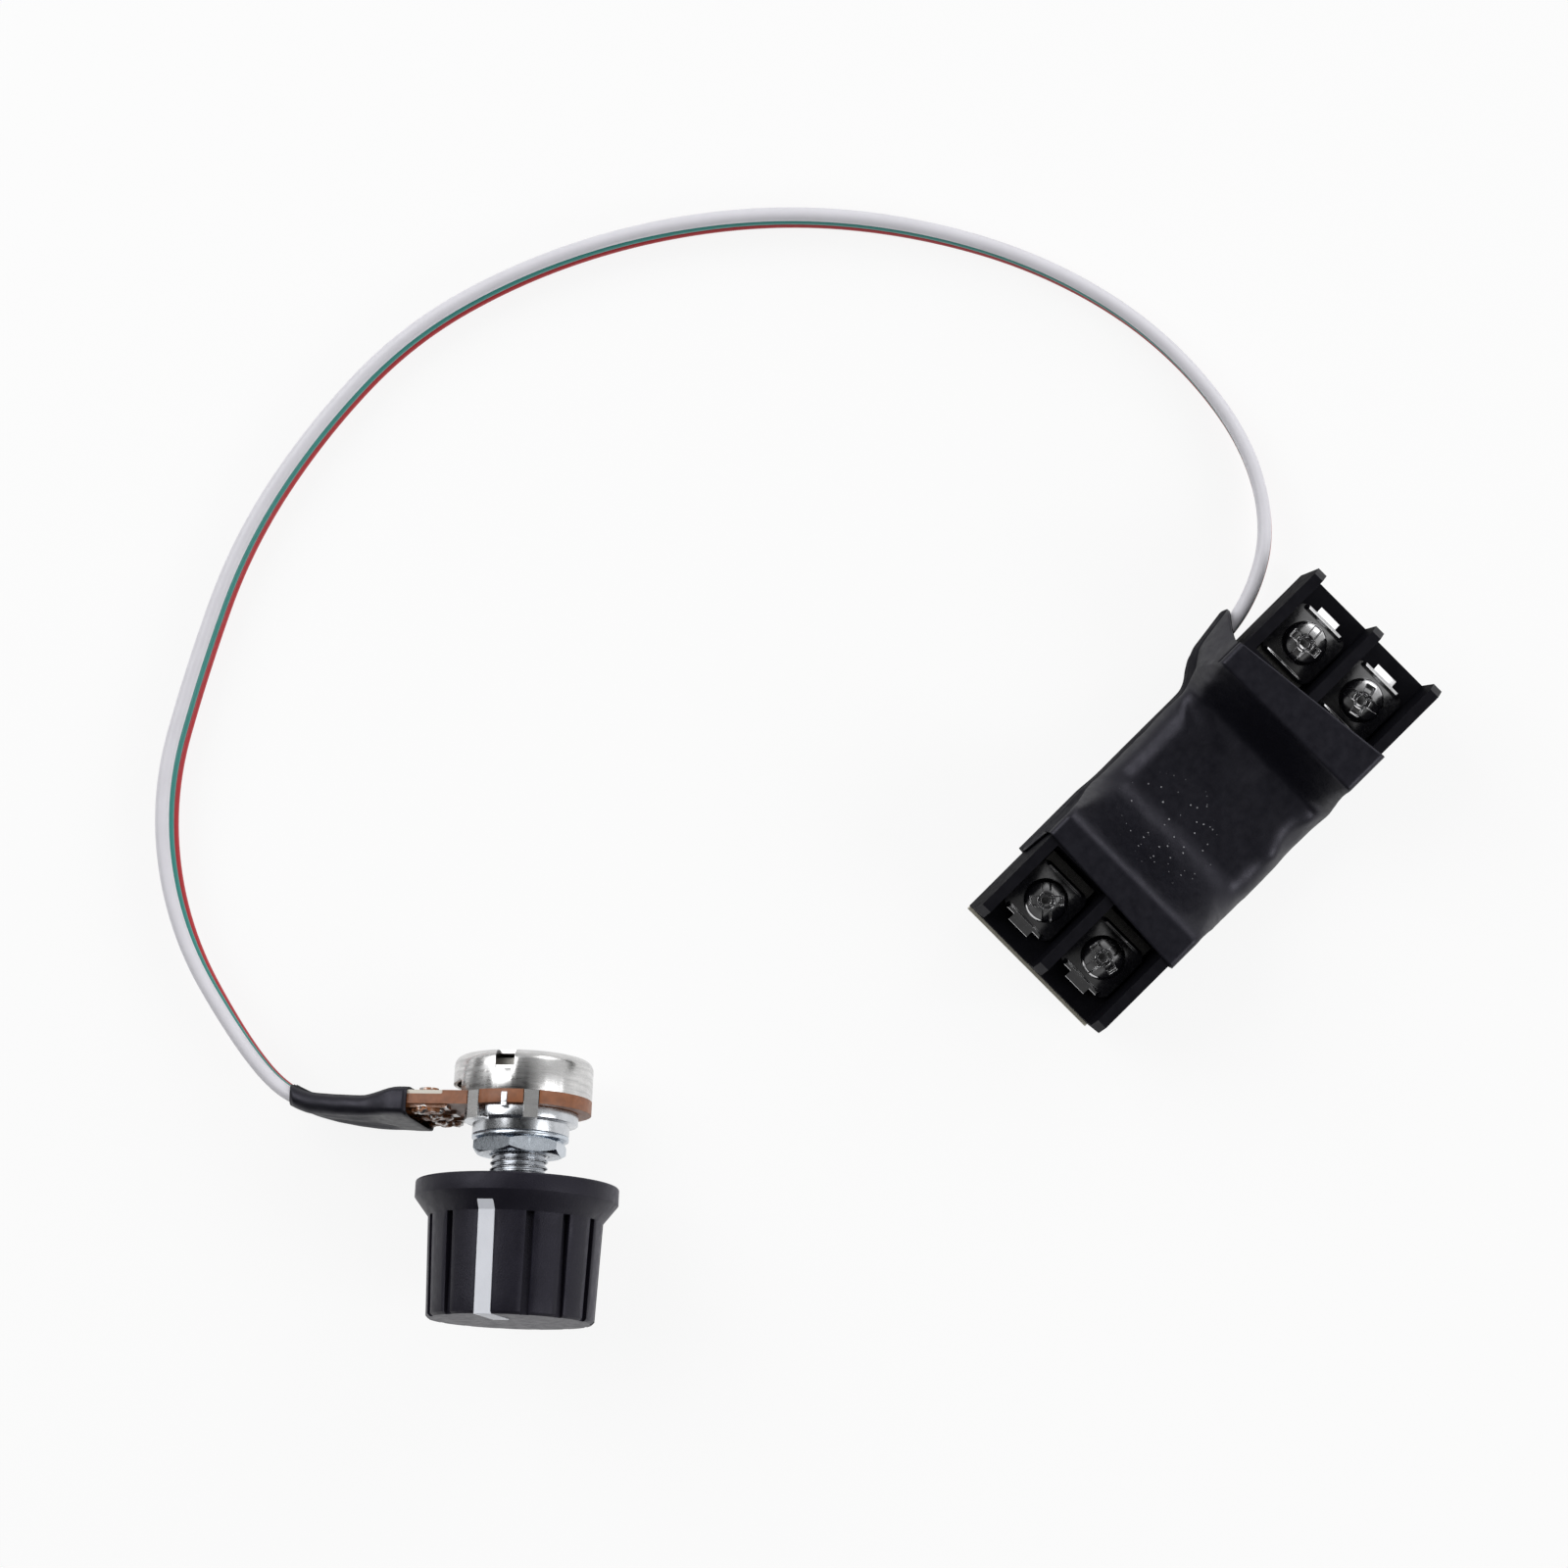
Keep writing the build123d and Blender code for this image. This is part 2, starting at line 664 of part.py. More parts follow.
# Can: a drawn cup with a stop tab lanced from its back edge and tabs that fold over the front plate
tab_outer = can_radius - can_wall / 2 + tab_thickness / 2
with BuildPart() as can:
    with BuildSketch(radial(turned(lug_side, 180))):
        with BuildLine():
            FilletPolyline((0, 0), (can_radius, 0), (can_radius, can_depth), radius=can_corner)
            Line((can_radius, can_depth), (can_radius - can_wall, can_depth))
            FilletPolyline(
                (can_radius - can_wall, can_depth),
                (can_radius - can_wall, can_wall),
                (0, can_wall),
                radius=can_corner - can_wall,
            )
            Line((0, can_wall), (0, 0))
        make_face()
    revolve(axis=pot_axis)
    with BuildSketch(lug_side.offset(can_depth)):
        with Locations((can_radius, 0)):
            Rectangle(can_radius, cutaway_width)
    extrude(amount=-cutaway_depth, mode=Mode.SUBTRACT)
    stop_side = turned(lug_side, stop_tab_angle)
    with BuildSketch(stop_side):
        with Locations((can_radius, 0)):
            Rectangle(2 * stop_notch_depth, stop_tab_width)
    extrude(amount=can_wall + stop_tab_height, mode=Mode.SUBTRACT)
    with BuildSketch(stop_side.offset(stop_tab_height)):
        with Locations((can_radius - can_wall / 2, 0)):
            Rectangle(stop_tab_reach + can_wall / 2, stop_tab_width, align=(Align.MAX, Align.CENTER))
    extrude(amount=stop_tab_thickness)
    for angle in tab_angles:
        side = turned(lug_side, angle)
        with BuildSketch(radial(side)):
            with BuildLine():
                Polyline(
                    (tab_outer, can_depth - tab_root),
                    (tab_outer, plate_front + tab_thickness),
                    (tab_outer - tab_fold, plate_front + tab_thickness),
                    (tab_outer - tab_fold, plate_front),
                    (tab_outer - tab_thickness, plate_front),
                    (tab_outer - tab_thickness, can_depth - tab_root),
                    close=True,
                )
            make_face()
        extrude(amount=tab_width / 2, both=True)
save(can.part, "pot_can")

# Wafer: a disc with a leg for the lugs, notched for the can's tabs
with BuildPart() as wafer:
    with BuildSketch(lug_side.offset(can_depth)) as wafer_outline:
        Circle(can_radius)
        with Locations((leg_reach / 2, 0)):
            Rectangle(leg_reach, leg_width)
        leg_end = wafer_outline.vertices().sort_by(Axis(lug_side.origin, lug_side.x_dir))[-2:]
        fillet(leg_end, radius=leg_corner)
        Circle(wafer_hole_radius, mode=Mode.SUBTRACT)
        for angle in tab_angles:
            with PolarLocations(can_radius - can_wall / 2, 1, start_angle=angle):
                Rectangle(can_wall + 2 * tab_gap, tab_width + 2 * tab_gap, mode=Mode.SUBTRACT)
                with Locations((can_wall, 0)):
                    Rectangle(2 * can_wall, tab_width + 2 * tab_gap, mode=Mode.SUBTRACT)
        with Locations(*[(rivet_reach, i * lug_pitch) for i in (-1, 0, 1)]):
            Circle(rivet_radius, mode=Mode.SUBTRACT)
    extrude(amount=wafer_thickness)
save(wafer.part, "wafer")


def make_lug(level, name):
    """Flat solder lug on the wafer's front, held by a rivet through the leg."""
    y = -level * lug_pitch
    with BuildPart() as lug:
        with BuildSketch(lug_side.offset(wafer_front)):
            with Locations(((lug_root + lug_tip) / 2, y)):
                Rectangle(lug_tip - lug_root, lug_width)
        extrude(amount=lug_thickness)
        with BuildSketch(lug_side.offset(wafer_front + lug_thickness)):
            with Locations((rivet_reach, y)):
                Circle(rivet_head_radius)
        extrude(amount=rivet_head_height)
        with BuildSketch(lug_side.offset(wafer_front)):
            with Locations((rivet_reach, y)):
                Circle(rivet_radius)
        extrude(amount=-wafer_thickness)
        with BuildSketch(lug_side.offset(can_depth)):
            with Locations((rivet_reach, y)):
                Circle(rivet_head_radius)
        extrude(amount=-rivet_head_height)
    save(lug.part, name)


for level, name in ((1, "lug_top"), (0, "lug_middle"), (-1, "lug_bottom")):
    make_lug(level, name)

# Front plate with its boss and bushing; the thread is a plain cylinder here
with BuildPart() as bushing:
    with BuildSketch(pot_section):
        with BuildLine():
            Polyline(
                (journal_radius + journal_gap, wafer_front),
                (plate_radius, wafer_front),
                (plate_radius, plate_front),
                (boss_radius, plate_front),
                (boss_radius, boss_front),
                (thread_radius, boss_front),
                (thread_radius, bushing_front - bushing_chamfer),
                (thread_radius - bushing_chamfer, bushing_front),
                (journal_radius + journal_gap, bushing_front),
                close=True,
            )
        make_face()
    revolve(axis=pot_axis)
save(bushing.part, "threaded_bushing")

with BuildPart() as washer:
    with BuildSketch(pot.offset(boss_front)):
        Circle(washer_radius)
        Circle(thread_diameter / 2 + thread_gap, mode=Mode.SUBTRACT)
        with PolarLocations(thread_diameter / 2 + thread_gap, washer_teeth):
            Rectangle(2 * washer_tooth_depth, washer_tooth_gap, mode=Mode.SUBTRACT)
    extrude(amount=washer_thickness)
save(washer.part, "lock_washer")

# Panel nut: a hexagon with its corners turned off on both faces
with BuildPart() as nut:
    nut_corner = nut_flats / 2 / math.cos(math.pi / 6)
    with BuildSketch(pot.offset(washer_front)):
        RegularPolygon(nut_corner, 6, rotation=nut_corner_angle)
        Circle(thread_diameter / 2 + thread_gap, mode=Mode.SUBTRACT)
    extrude(amount=nut_thickness)
    with BuildSketch(pot_section):
        with BuildLine():
            Polyline(
                (0, washer_front),
                (nut_flats / 2, washer_front),
                (nut_corner, washer_front + nut_chamfer),
                (nut_corner, nut_front - nut_chamfer),
                (nut_flats / 2, nut_front),
                (0, nut_front),
                close=True,
            )
        make_face()
    revolve(axis=pot_axis, mode=Mode.INTERSECT)
save(nut.part, "panel_nut")

# Stations inside the can
rotor_back = can_wall + rotor_clearance
rotor_front = can_depth - wiper_room - wiper_thickness
clip_front = wafer_front - clip_play
clip_back = clip_front - clip_thickness
shaft_start = bushing_front + shaft_end_gap
shaft_end = knob_cavity_end - shaft_end_gap

# Shaft: tang for the rotor, journal with a groove for the clip, knurled and split end for the knob
with BuildPart() as shaft:
    with BuildSketch(pot_section):
        with BuildLine():
            Polyline(
                (0, rotor_back),
                (tang_radius, rotor_back),
                (tang_radius, rotor_front),
                (journal_radius, rotor_front),
                (journal_radius, clip_back - clip_gap),
                (clip_groove_radius, clip_back - clip_gap),
                (clip_groove_radius, clip_front + clip_gap),
                (journal_radius, clip_front + clip_gap),
                (journal_radius, shaft_start),
                (shaft_radius, shaft_start),
                (shaft_radius, shaft_end),
                (0, shaft_end),
                close=True,
            )
        make_face()
    revolve(axis=pot_axis)
    with BuildSketch(pointer_side.offset(rotor_back)):
        with GridLocations(1, tang_thickness + tang_radius, 1, 2):
            Rectangle(2 * tang_radius, tang_radius)
    extrude(amount=rotor_front - rotor_back, mode=Mode.SUBTRACT)
    with BuildSketch(pointer_side.offset(shaft_start)):
        with PolarLocations(shaft_radius, knurl_count):
            Rectangle(2 * knurl_depth, 2 * knurl_depth, rotation=45)
    extrude(amount=shaft_end - shaft_start, mode=Mode.SUBTRACT)
    with BuildSketch(pointer_side.offset(shaft_end)):
        Rectangle(3 * shaft_radius, split_width)
    extrude(amount=-split_depth, mode=Mode.SUBTRACT)
save(shaft.part, "pot_shaft")

with BuildPart() as clip:
    with BuildSketch(pointer_side.offset(clip_back)):
        Circle(clip_radius)
        Circle(clip_groove_radius + clip_gap, mode=Mode.SUBTRACT)
        with BuildLine():
            Polyline(
                (0, 0),
                (2 * clip_radius, 2 * clip_radius * math.tan(math.radians(clip_mouth / 2))),
                (2 * clip_radius, -2 * clip_radius * math.tan(math.radians(clip_mouth / 2))),
                close=True,
            )
        make_face(mode=Mode.SUBTRACT)
    extrude(amount=clip_thickness)
save(clip.part, "shaft_clip")

# Rotor: its stop meets the can's tab at both ends of the travel
stop_inner = can_radius - stop_tab_reach - can_wall
stop_outer = can_radius - can_wall - rotor_edge_gap
stop_tab_half = math.degrees(math.asin(stop_tab_width / 2 / stop_inner))
stop_half = (360 - knob_travel) / 2 - stop_tab_half - stop_margin
turn_from_start = lug_angle - pointer_angle - pointer_at_start
rotor_stop_angle = lug_angle + stop_tab_angle - (360 - knob_travel) / 2 - turn_from_start
with BuildPart() as rotor:
    with BuildSketch(pot.offset(rotor_back)):
        Circle(min(rotor_hub_radius, stop_inner - rotor_edge_gap))
    extrude(amount=rotor_front - rotor_back)
    with BuildSketch(pot.offset(rotor_front)):
        Circle(stop_outer)
    extrude(amount=-rotor_flange)
    with BuildSketch(turned(pot, rotor_stop_angle).offset(rotor_back)):
        with BuildLine():
            Line((0, 0), PolarLine((0, 0), stop_outer, -stop_half, mode=Mode.PRIVATE) @ 1)
            CenterArc((0, 0), stop_outer, -stop_half, 2 * stop_half)
            Line(PolarLine((0, 0), stop_outer, stop_half, mode=Mode.PRIVATE) @ 1, (0, 0))
        make_face()
    extrude(amount=rotor_front - rotor_back)
    with BuildSketch(pointer_side.offset(rotor_back)):
        Circle(tang_radius + shaft_gap)
        with GridLocations(1, tang_thickness + 2 * shaft_gap + tang_radius, 1, 2):
            Rectangle(3 * tang_radius, tang_radius, mode=Mode.SUBTRACT)
    extrude(amount=rotor_front - rotor_back, mode=Mode.SUBTRACT)
save(rotor.part, "wiper_rotor")

# Wiper: a ring on the rotor with two sprung fingers that reach for the wafer's track
finger_rise = wiper_room + wiper_thickness - wiper_gap
with BuildPart() as wiper:
    with BuildSketch(pot.offset(rotor_front)):
        Circle(wiper_outer_radius)
        Circle(wiper_inner_radius, mode=Mode.SUBTRACT)
    extrude(amount=wiper_thickness)
    for side in (pointer_side, turned(pointer_side, 180)):
        with BuildSketch(radial(side).offset((wiper_inner_radius + wiper_outer_radius) / 2)):
            with BuildLine():
                Polyline(
                    (0, rotor_front),
                    (wiper_thickness, rotor_front),
                    (wiper_inner_radius, rotor_front + finger_rise - wiper_thickness),
                    (wiper_inner_radius, rotor_front + finger_rise),
                    (wiper_inner_radius - wiper_thickness, rotor_front + finger_rise),
                    (0, rotor_front + wiper_thickness),
                    close=True,
                )
            make_face()
        extrude(amount=wiper_finger_width / 2, both=True)
save(wiper.part, "wiper_contact")

# Pointer: a white strip let into the knob's side and face
taper_back = knob_back + rim_width
taper_front = taper_back + taper_width
taper_half_radius = (flange_radius + knob_body_radius) / 2
with BuildPart() as pointer:
    with BuildSketch(radial(pointer_side)):
        with BuildLine():
            Polyline(
                (taper_half_radius, (taper_back + taper_front) / 2),
                (knob_body_radius + pointer_raise, taper_front),
                (knob_front_radius + pointer_raise, knob_front + pointer_raise),
                (pointer_end_radius, knob_front + pointer_raise),
                (pointer_end_radius, knob_front - pointer_sink),
                (knob_front_radius - pointer_sink, knob_front - pointer_sink),
                (knob_body_radius - pointer_sink, taper_front),
                close=True,
            )
        make_face()
    extrude(amount=pointer_width / 2, both=True)
save(pointer.part, "knob_pointer")

# Knob: a moulded cap with a hub for the shaft, fluted down its side
with BuildPart() as knob:
    with BuildSketch(pot_section):
        with BuildLine():
            Polyline(
                (flange_radius - flange_edge, knob_back),
                (knob_front_radius - knob_wall, knob_back),
                (knob_front_radius - knob_wall, knob_cavity_end),
                (hub_radius, knob_cavity_end),
                (hub_radius, knob_back + hub_setback),
                (shaft_radius + shaft_gap, knob_back + hub_setback),
                (shaft_radius + shaft_gap, knob_cavity_end),
                (0, knob_cavity_end),
                (0, knob_front),
                (knob_front_radius - knob_front_edge, knob_front),
                (knob_front_radius, knob_front - knob_front_edge),
                (knob_body_radius, taper_front),
                (flange_radius, taper_back),
                (flange_radius, knob_back + flange_edge),
            )
            RadiusArc(
                (flange_radius, knob_back + flange_edge),
                (flange_radius - flange_edge, knob_back),
                flange_edge,
            )
        make_face()
    revolve(axis=pot_axis)
    with BuildSketch(pointer_side.offset(knob_front)):
        with PolarLocations(
            knob_front_radius,
            groove_count,
            start_angle=groove_first,
            angular_range=groove_pitch * (groove_count - 1),
            endpoint=True,
        ):
            Rectangle(2 * groove_depth, groove_width)
    extrude(amount=taper_front - knob_front, mode=Mode.SUBTRACT)
    add(pointer.part, mode=Mode.SUBTRACT)
save(knob.part, "knob")

# Wires of the ribbon, from the lugs to their stripped ends
wire_names = {1: "wire_white", 0: "wire_green", -1: "wire_red"}
for level, name in wire_names.items():
    points = wire_points(level)
    radii = bend_radii(points)
    with BuildPart() as wire:
        with BuildLine() as route:
            FilletPolyline(*points, radius=radii)
        with BuildSketch(Plane(origin=points[0], z_dir=points[1] - points[0])):
            Circle(wire_diameter / 2)
        sweep()
    save(wire.part, name)
    section = math.pi * wire_diameter ** 2 / 4
    length = sum(edge.length for edge in route.edges())
    print(name, "length", round(length, 1), "volume over section times length",
          round(wire.part.volume / (section * length), 4))
    print(name, "bend radii", [round(radius, 1) for radius in radii])

# Stripped ends: they go on from the wires and turn down through the board
with BuildPart() as tails:
    for level in wire_names:
        start = Vector(ribbon_points(level)[-1])
        corner = tail_corner(level)
        foot = Vector(corner.X, corner.Y, board_underside - pin_stub)
        with BuildLine():
            FilletPolyline(start, corner, foot, radius=tail_bend)
        with BuildSketch(Plane(origin=start, z_dir=tail_heading())):
            Circle(tail_diameter / 2)
        sweep()
save(tails.part, "stripped_ends")


# Lug sleeve: a flat heat-shrink tube, tall over the lugs and narrow where it grips the ribbon
def sleeve_plane(origin, along):
    """Plane across the sleeve, with x down the stack of wires."""
    return Plane(origin=origin, x_dir=lug_row.y_dir, z_dir=along)


first_run = Vector(ribbon_route[0]) - lug_point(lug_tip + lug_lead, 0)
second_run = Vector(ribbon_route[1]) - Vector(ribbon_route[0])
sleeve_end = Vector(ribbon_route[0]) + second_run.normalized() * sleeve_overrun
wire_room = wire_diameter / 2 + sleeve_gap
sleeve_sections = (
    (
        sleeve_plane(lug_point(leg_reach + sleeve_gap, 0), lug_row.x_dir),
        lug_pitch + lug_width / 2 + sleeve_gap,
    ),
    (
        sleeve_plane(lug_point(lug_tip + lug_lead, 0), lug_row.x_dir + first_run.normalized()),
        lug_pitch + wire_room,
    ),
    (
        Plane(origin=sleeve_end, x_dir=(0, 0, -1), z_dir=second_run),
        wire_pitch + wire_room + 2 * sleeve_gap,
    ),
)
half_thickness = wire_room + 2 * sleeve_gap
with BuildPart() as sleeve:
    for plane, half_height in sleeve_sections:
        with BuildSketch(plane):
            RectangleRounded(
                2 * (half_height + sleeve_wall),
                2 * (half_thickness + sleeve_wall),
                sleeve_round,
            )
    loft(ruled=True)
with BuildPart() as sleeve_bore:
    for plane, half_height in sleeve_sections:
        with BuildSketch(plane):
            RectangleRounded(2 * half_height, 2 * half_thickness, sleeve_round - sleeve_wall)
    loft(ruled=True)
with BuildPart() as lug_sleeve:
    add(sleeve.part)
    add(sleeve_bore.part, mode=Mode.SUBTRACT)
save(lug_sleeve.part, "lug_sleeve")
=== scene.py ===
import json
import math

import bmesh
import bpy
from mathutils import Matrix, Vector, noise


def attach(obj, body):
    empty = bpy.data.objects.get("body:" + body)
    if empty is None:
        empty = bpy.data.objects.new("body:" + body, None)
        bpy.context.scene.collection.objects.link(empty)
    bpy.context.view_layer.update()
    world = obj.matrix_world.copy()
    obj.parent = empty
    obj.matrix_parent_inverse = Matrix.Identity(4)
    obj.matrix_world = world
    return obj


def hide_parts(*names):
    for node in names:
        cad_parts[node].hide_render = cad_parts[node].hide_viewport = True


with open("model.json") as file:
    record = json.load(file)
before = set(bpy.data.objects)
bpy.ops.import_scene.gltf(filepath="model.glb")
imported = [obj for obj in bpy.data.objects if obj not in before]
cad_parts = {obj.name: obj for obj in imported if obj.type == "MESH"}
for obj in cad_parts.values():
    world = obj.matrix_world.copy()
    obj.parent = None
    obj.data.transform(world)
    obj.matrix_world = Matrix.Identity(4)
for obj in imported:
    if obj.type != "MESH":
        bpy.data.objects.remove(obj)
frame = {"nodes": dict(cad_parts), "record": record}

MM = 0.001
UP = Vector((0, 0, 1))
scene = bpy.context.scene
nodes = frame["nodes"]
record = frame["record"]
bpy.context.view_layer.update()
scene.view_settings.view_transform = "Standard"

# Camera, straight above the table as in the photograph, in metres
CAMERA_PLACE = (-0.0337, 0.0363, 0.390)
PICTURE_HALF = 0.0954085
RIGHT_X = 0.7087
RIGHT_Y = -0.7055
IMAGE_RIGHT = Vector((RIGHT_X, RIGHT_Y, 0))
IMAGE_UP = Vector((-RIGHT_Y, RIGHT_X, 0))

camera_data = bpy.data.cameras.new("camera")
camera_data.sensor_fit = "HORIZONTAL"
camera_data.angle = 2 * math.atan(PICTURE_HALF / CAMERA_PLACE[2])
camera_data.clip_start = 0.01
camera = bpy.data.objects.new("camera", camera_data)
camera.location = CAMERA_PLACE
camera.rotation_euler = (0, 0, math.atan2(RIGHT_Y, RIGHT_X))
scene.collection.objects.link(camera)
scene.camera = camera

# The potentiometer's frame, in metres: x up, y level on the lugs' side, z along the shaft
POT_ORIGIN = Vector((-0.07883, 0.03478, 0.0077082))
bushing_mount = next(mount for mount in record["mounts"] if mount["name"] == "panel_bushing")
POT_ALONG = Vector(bushing_mount["axis"])
POT_ASIDE = Vector((POT_ALONG.y, -POT_ALONG.x, 0)).normalized()
POT_UP = POT_ASIDE.cross(POT_ALONG)
POT = Matrix.Translation(POT_ORIGIN) @ Matrix((POT_UP, POT_ASIDE, POT_ALONG)).transposed().to_4x4()

# The lugs' frame: the potentiometer's, turned about the shaft until x points along the lugs, in degrees
LUG_TURN = 98.5
LUG_SIDE = POT @ Matrix.Rotation(math.radians(LUG_TURN), 4, "Z")


# Materials
class Shade:
    """A node material under construction, with its textures on the object's own coordinates."""

    def __init__(self, name, color, rough, metal=0.0):
        self.mat = bpy.data.materials.new(name)
        self.mat.use_nodes = True
        self.tree = self.mat.node_tree
        self.bsdf = self.tree.nodes["Principled BSDF"]
        self.bsdf.inputs["Base Color"].default_value = (*color, 1)
        self.bsdf.inputs["Roughness"].default_value = rough
        self.bsdf.inputs["Metallic"].default_value = metal
        self.color = color
        self.place = self.tree.nodes.new("ShaderNodeTexCoord").outputs["Object"]
        self.normal = None
        self.tint = None

    def link(self, output, socket):
        self.tree.links.new(output, socket)

    def stretched(self, matrix, scale):
        """Coordinates turned into a frame and scaled along its axes."""
        node = self.tree.nodes.new("ShaderNodeMapping")
        node.vector_type = "TEXTURE"
        node.inputs["Location"].default_value = matrix.translation
        node.inputs["Rotation"].default_value = matrix.to_euler()
        node.inputs["Scale"].default_value = scale
        self.link(self.place, node.inputs["Vector"])
        return node.outputs["Vector"]

    def noise(self, scale, detail=3.0, vector=None):
        node = self.tree.nodes.new("ShaderNodeTexNoise")
        node.inputs["Scale"].default_value = scale
        node.inputs["Detail"].default_value = detail
        node.inputs["Roughness"].default_value = 0.55
        self.link(vector or self.place, node.inputs["Vector"])
        return node.outputs["Fac"]

    def span(self, value, low, high, to_low, to_high):
        """Carries a value from one range over to another, and holds it there."""
        node = self.tree.nodes.new("ShaderNodeMapRange")
        node.inputs["From Min"].default_value = low
        node.inputs["From Max"].default_value = high
        node.inputs["To Min"].default_value = to_low
        node.inputs["To Max"].default_value = to_high
        self.link(value, node.inputs["Value"])
        return node.outputs["Result"]

    def part_of(self, vector, axis):
        node = self.tree.nodes.new("ShaderNodeSeparateXYZ")
        self.link(vector, node.inputs["Vector"])
        return node.outputs[axis]

    def times(self, a, b):
        node = self.tree.nodes.new("ShaderNodeMath")
        node.operation = "MULTIPLY"
        self.link(a, node.inputs[0])
        self.link(b, node.inputs[1])
        return node.outputs["Value"]

    def paint(self, value, low, high, color):
        """Mixes another colour in where value goes from low to high."""
        node = self.tree.nodes.new("ShaderNodeMix")
        node.data_type = "RGBA"
        self.link(self.span(value, low, high, 0, 1), node.inputs["Factor"])
        if self.tint is None:
            node.inputs["A"].default_value = (*self.color, 1)
        else:
            self.link(self.tint, node.inputs["A"])
        node.inputs["B"].default_value = (*color, 1)
        self.tint = node.outputs["Result"]
        self.link(self.tint, self.bsdf.inputs["Base Color"])

    def scuff(self, value, low, high, to_low, to_high):
        """Makes the roughness follow a value."""
        self.link(self.span(value, low, high, to_low, to_high), self.bsdf.inputs["Roughness"])

    def bump(self, value, height):
        """Adds relief of a height in metres to what is there already."""
        node = self.tree.nodes.new("ShaderNodeBump")
        node.inputs["Distance"].default_value = height
        node.inputs["Strength"].default_value = 1.0
        self.link(value, node.inputs["Height"])
        if self.normal is not None:
            self.link(self.normal, node.inputs["Normal"])
        self.normal = node.outputs["Normal"]
        self.link(self.normal, self.bsdf.inputs["Normal"])


BLACK_SHEEN = (0.86, 0.84, 1.0)


def moulded(
    name, color, rough, grain=0.00001, lift=1.35, mottle=300, gloss=0.5, sheen=(1, 1, 1), dull=None, painted_sheen=1.5
):
    """Moulded plastic: faint mottle, fine grain and uneven gloss.

    Where dull is given, it is the gloss of the upright walls, and the last factor paints the walls lighter
    than the rest: a painted sheen that stands in for the reflection they lose.
    """
    shade = Shade(name, color, rough)
    shade.bsdf.inputs["Specular IOR Level"].default_value = gloss
    shade.bsdf.inputs["Specular Tint"].default_value = (*sheen, 1)
    shade.paint(shade.noise(mottle, 4), 0.35, 0.8, tuple(min(1, c * lift) for c in color))
    if dull is not None:
        facing = shade.part_of(shade.tree.nodes.new("ShaderNodeNewGeometry").outputs["Normal"], "Z")
        shade.link(shade.span(facing, 0.12, 0.5, dull, gloss), shade.bsdf.inputs["Specular IOR Level"])
        # Painted sheen: the upright walls are painted lighter, in place of the reflection that the low gloss
        # takes away.
        shade.paint(facing, 0.5, 0.1, tuple(c * painted_sheen for c in color))
    shade.scuff(shade.noise(900, 3), 0.3, 0.7, rough - 0.05, rough + 0.07)
    shade.bump(shade.noise(6500, 2), grain)
    return shade


def plated(name, color, rough, scratch=0.0000004):
    """Plated metal: cloudy tone, uneven gloss and fine scratches."""
    shade = Shade(name, color, rough, 1.0)
    shade.paint(shade.noise(900, 4), 0.35, 0.75, tuple(c * 0.85 for c in color))
    shade.scuff(shade.noise(2500, 3), 0.3, 0.7, rough - 0.04, rough + 0.06)
    shade.bump(shade.noise(9000, 2), scratch)
    return shade


# Dust on the module's wrap, in metres: the middle of its patch, and where it thins out
DUST_PLACE = (-0.0060, 0.0005, 0.0108)
DUST_INNER = 0.004
DUST_OUTER = 0.0085


def shrunk(name):
    """Heat-shrink tube: satin black with soft ripples and a few specks of dust in the module's dip."""
    # Its upright flanks get painted sheen from moulded, in place of their reflection.
    shade = moulded(
        name, (0.0050, 0.0050, 0.0076), 0.41, grain=0.000005, gloss=0.42, sheen=BLACK_SHEEN, dull=0.001
    )
    shade.bump(shade.noise(420, 3), 0.00005)
    dust = shade.tree.nodes.new("ShaderNodeTexVoronoi")
    dust.inputs["Scale"].default_value = 1500
    shade.link(shade.place, dust.inputs["Vector"])
    speck = shade.span(dust.outputs["Distance"], 0.2, 0.12, 0, 1)
    few = shade.span(dust.outputs["Color"], 0.5, 0.55, 0, 1)
    patch = shade.tree.nodes.new("ShaderNodeVectorMath")
    patch.operation = "DISTANCE"
    patch.inputs[1].default_value = DUST_PLACE
    shade.link(shade.place, patch.inputs[0])
    near = shade.span(patch.outputs["Value"], DUST_OUTER, DUST_INNER, 0, 1)
    shade.paint(shade.times(shade.times(speck, few), near), 0.2, 0.8, (0.34, 0.34, 0.36))
    return shade


def soldered(name):
    """Tinned metal half covered by amber flux."""
    shade = plated(name, (0.50, 0.49, 0.48), 0.3)
    flux = shade.noise(520, 3)
    shade.paint(flux, 0.43, 0.49, (0.32, 0.125, 0.048))
    shade.link(shade.span(flux, 0.43, 0.49, 1, 0), shade.bsdf.inputs["Metallic"])
    shade.bump(shade.noise(1400, 2), 0.00003)
    return shade


def struck(name):
    """Bright nickel, a little wavy from plating and wear."""
    shade = plated(name, (0.66, 0.66, 0.67), 0.17)
    shade.bump(shade.noise(1300, 2), 0.000003)
    return shade


def drawn(name):
    """Tinplate drawn into the can, with fine streaks round it."""
    shade = plated(name, (0.72, 0.715, 0.71), 0.24)
    streak = shade.noise(320, 3, shade.stretched(POT, (1, 1, 0.12)))
    shade.paint(streak, 0.40, 0.70, (0.54, 0.54, 0.54))
    shade.scuff(streak, 0.3, 0.7, 0.18, 0.36)
    return shade


def laminate(name):
    """Brown phenolic laminate, paler along the back of the lug leg."""
    shade = moulded(name, (0.30, 0.11, 0.046), 0.45, lift=0.62, mottle=1300)
    place = shade.stretched(LUG_SIDE, (1, 1, 1))
    back = shade.span(shade.part_of(place, "Z"), 0.00535, 0.00515, 0, 1)
    leg = shade.span(shade.part_of(place, "X"), 0.0080, 0.0084, 0, 1)
    shade.paint(shade.times(back, leg), 0.3, 0.7, (0.70, 0.66, 0.58))
    return shade


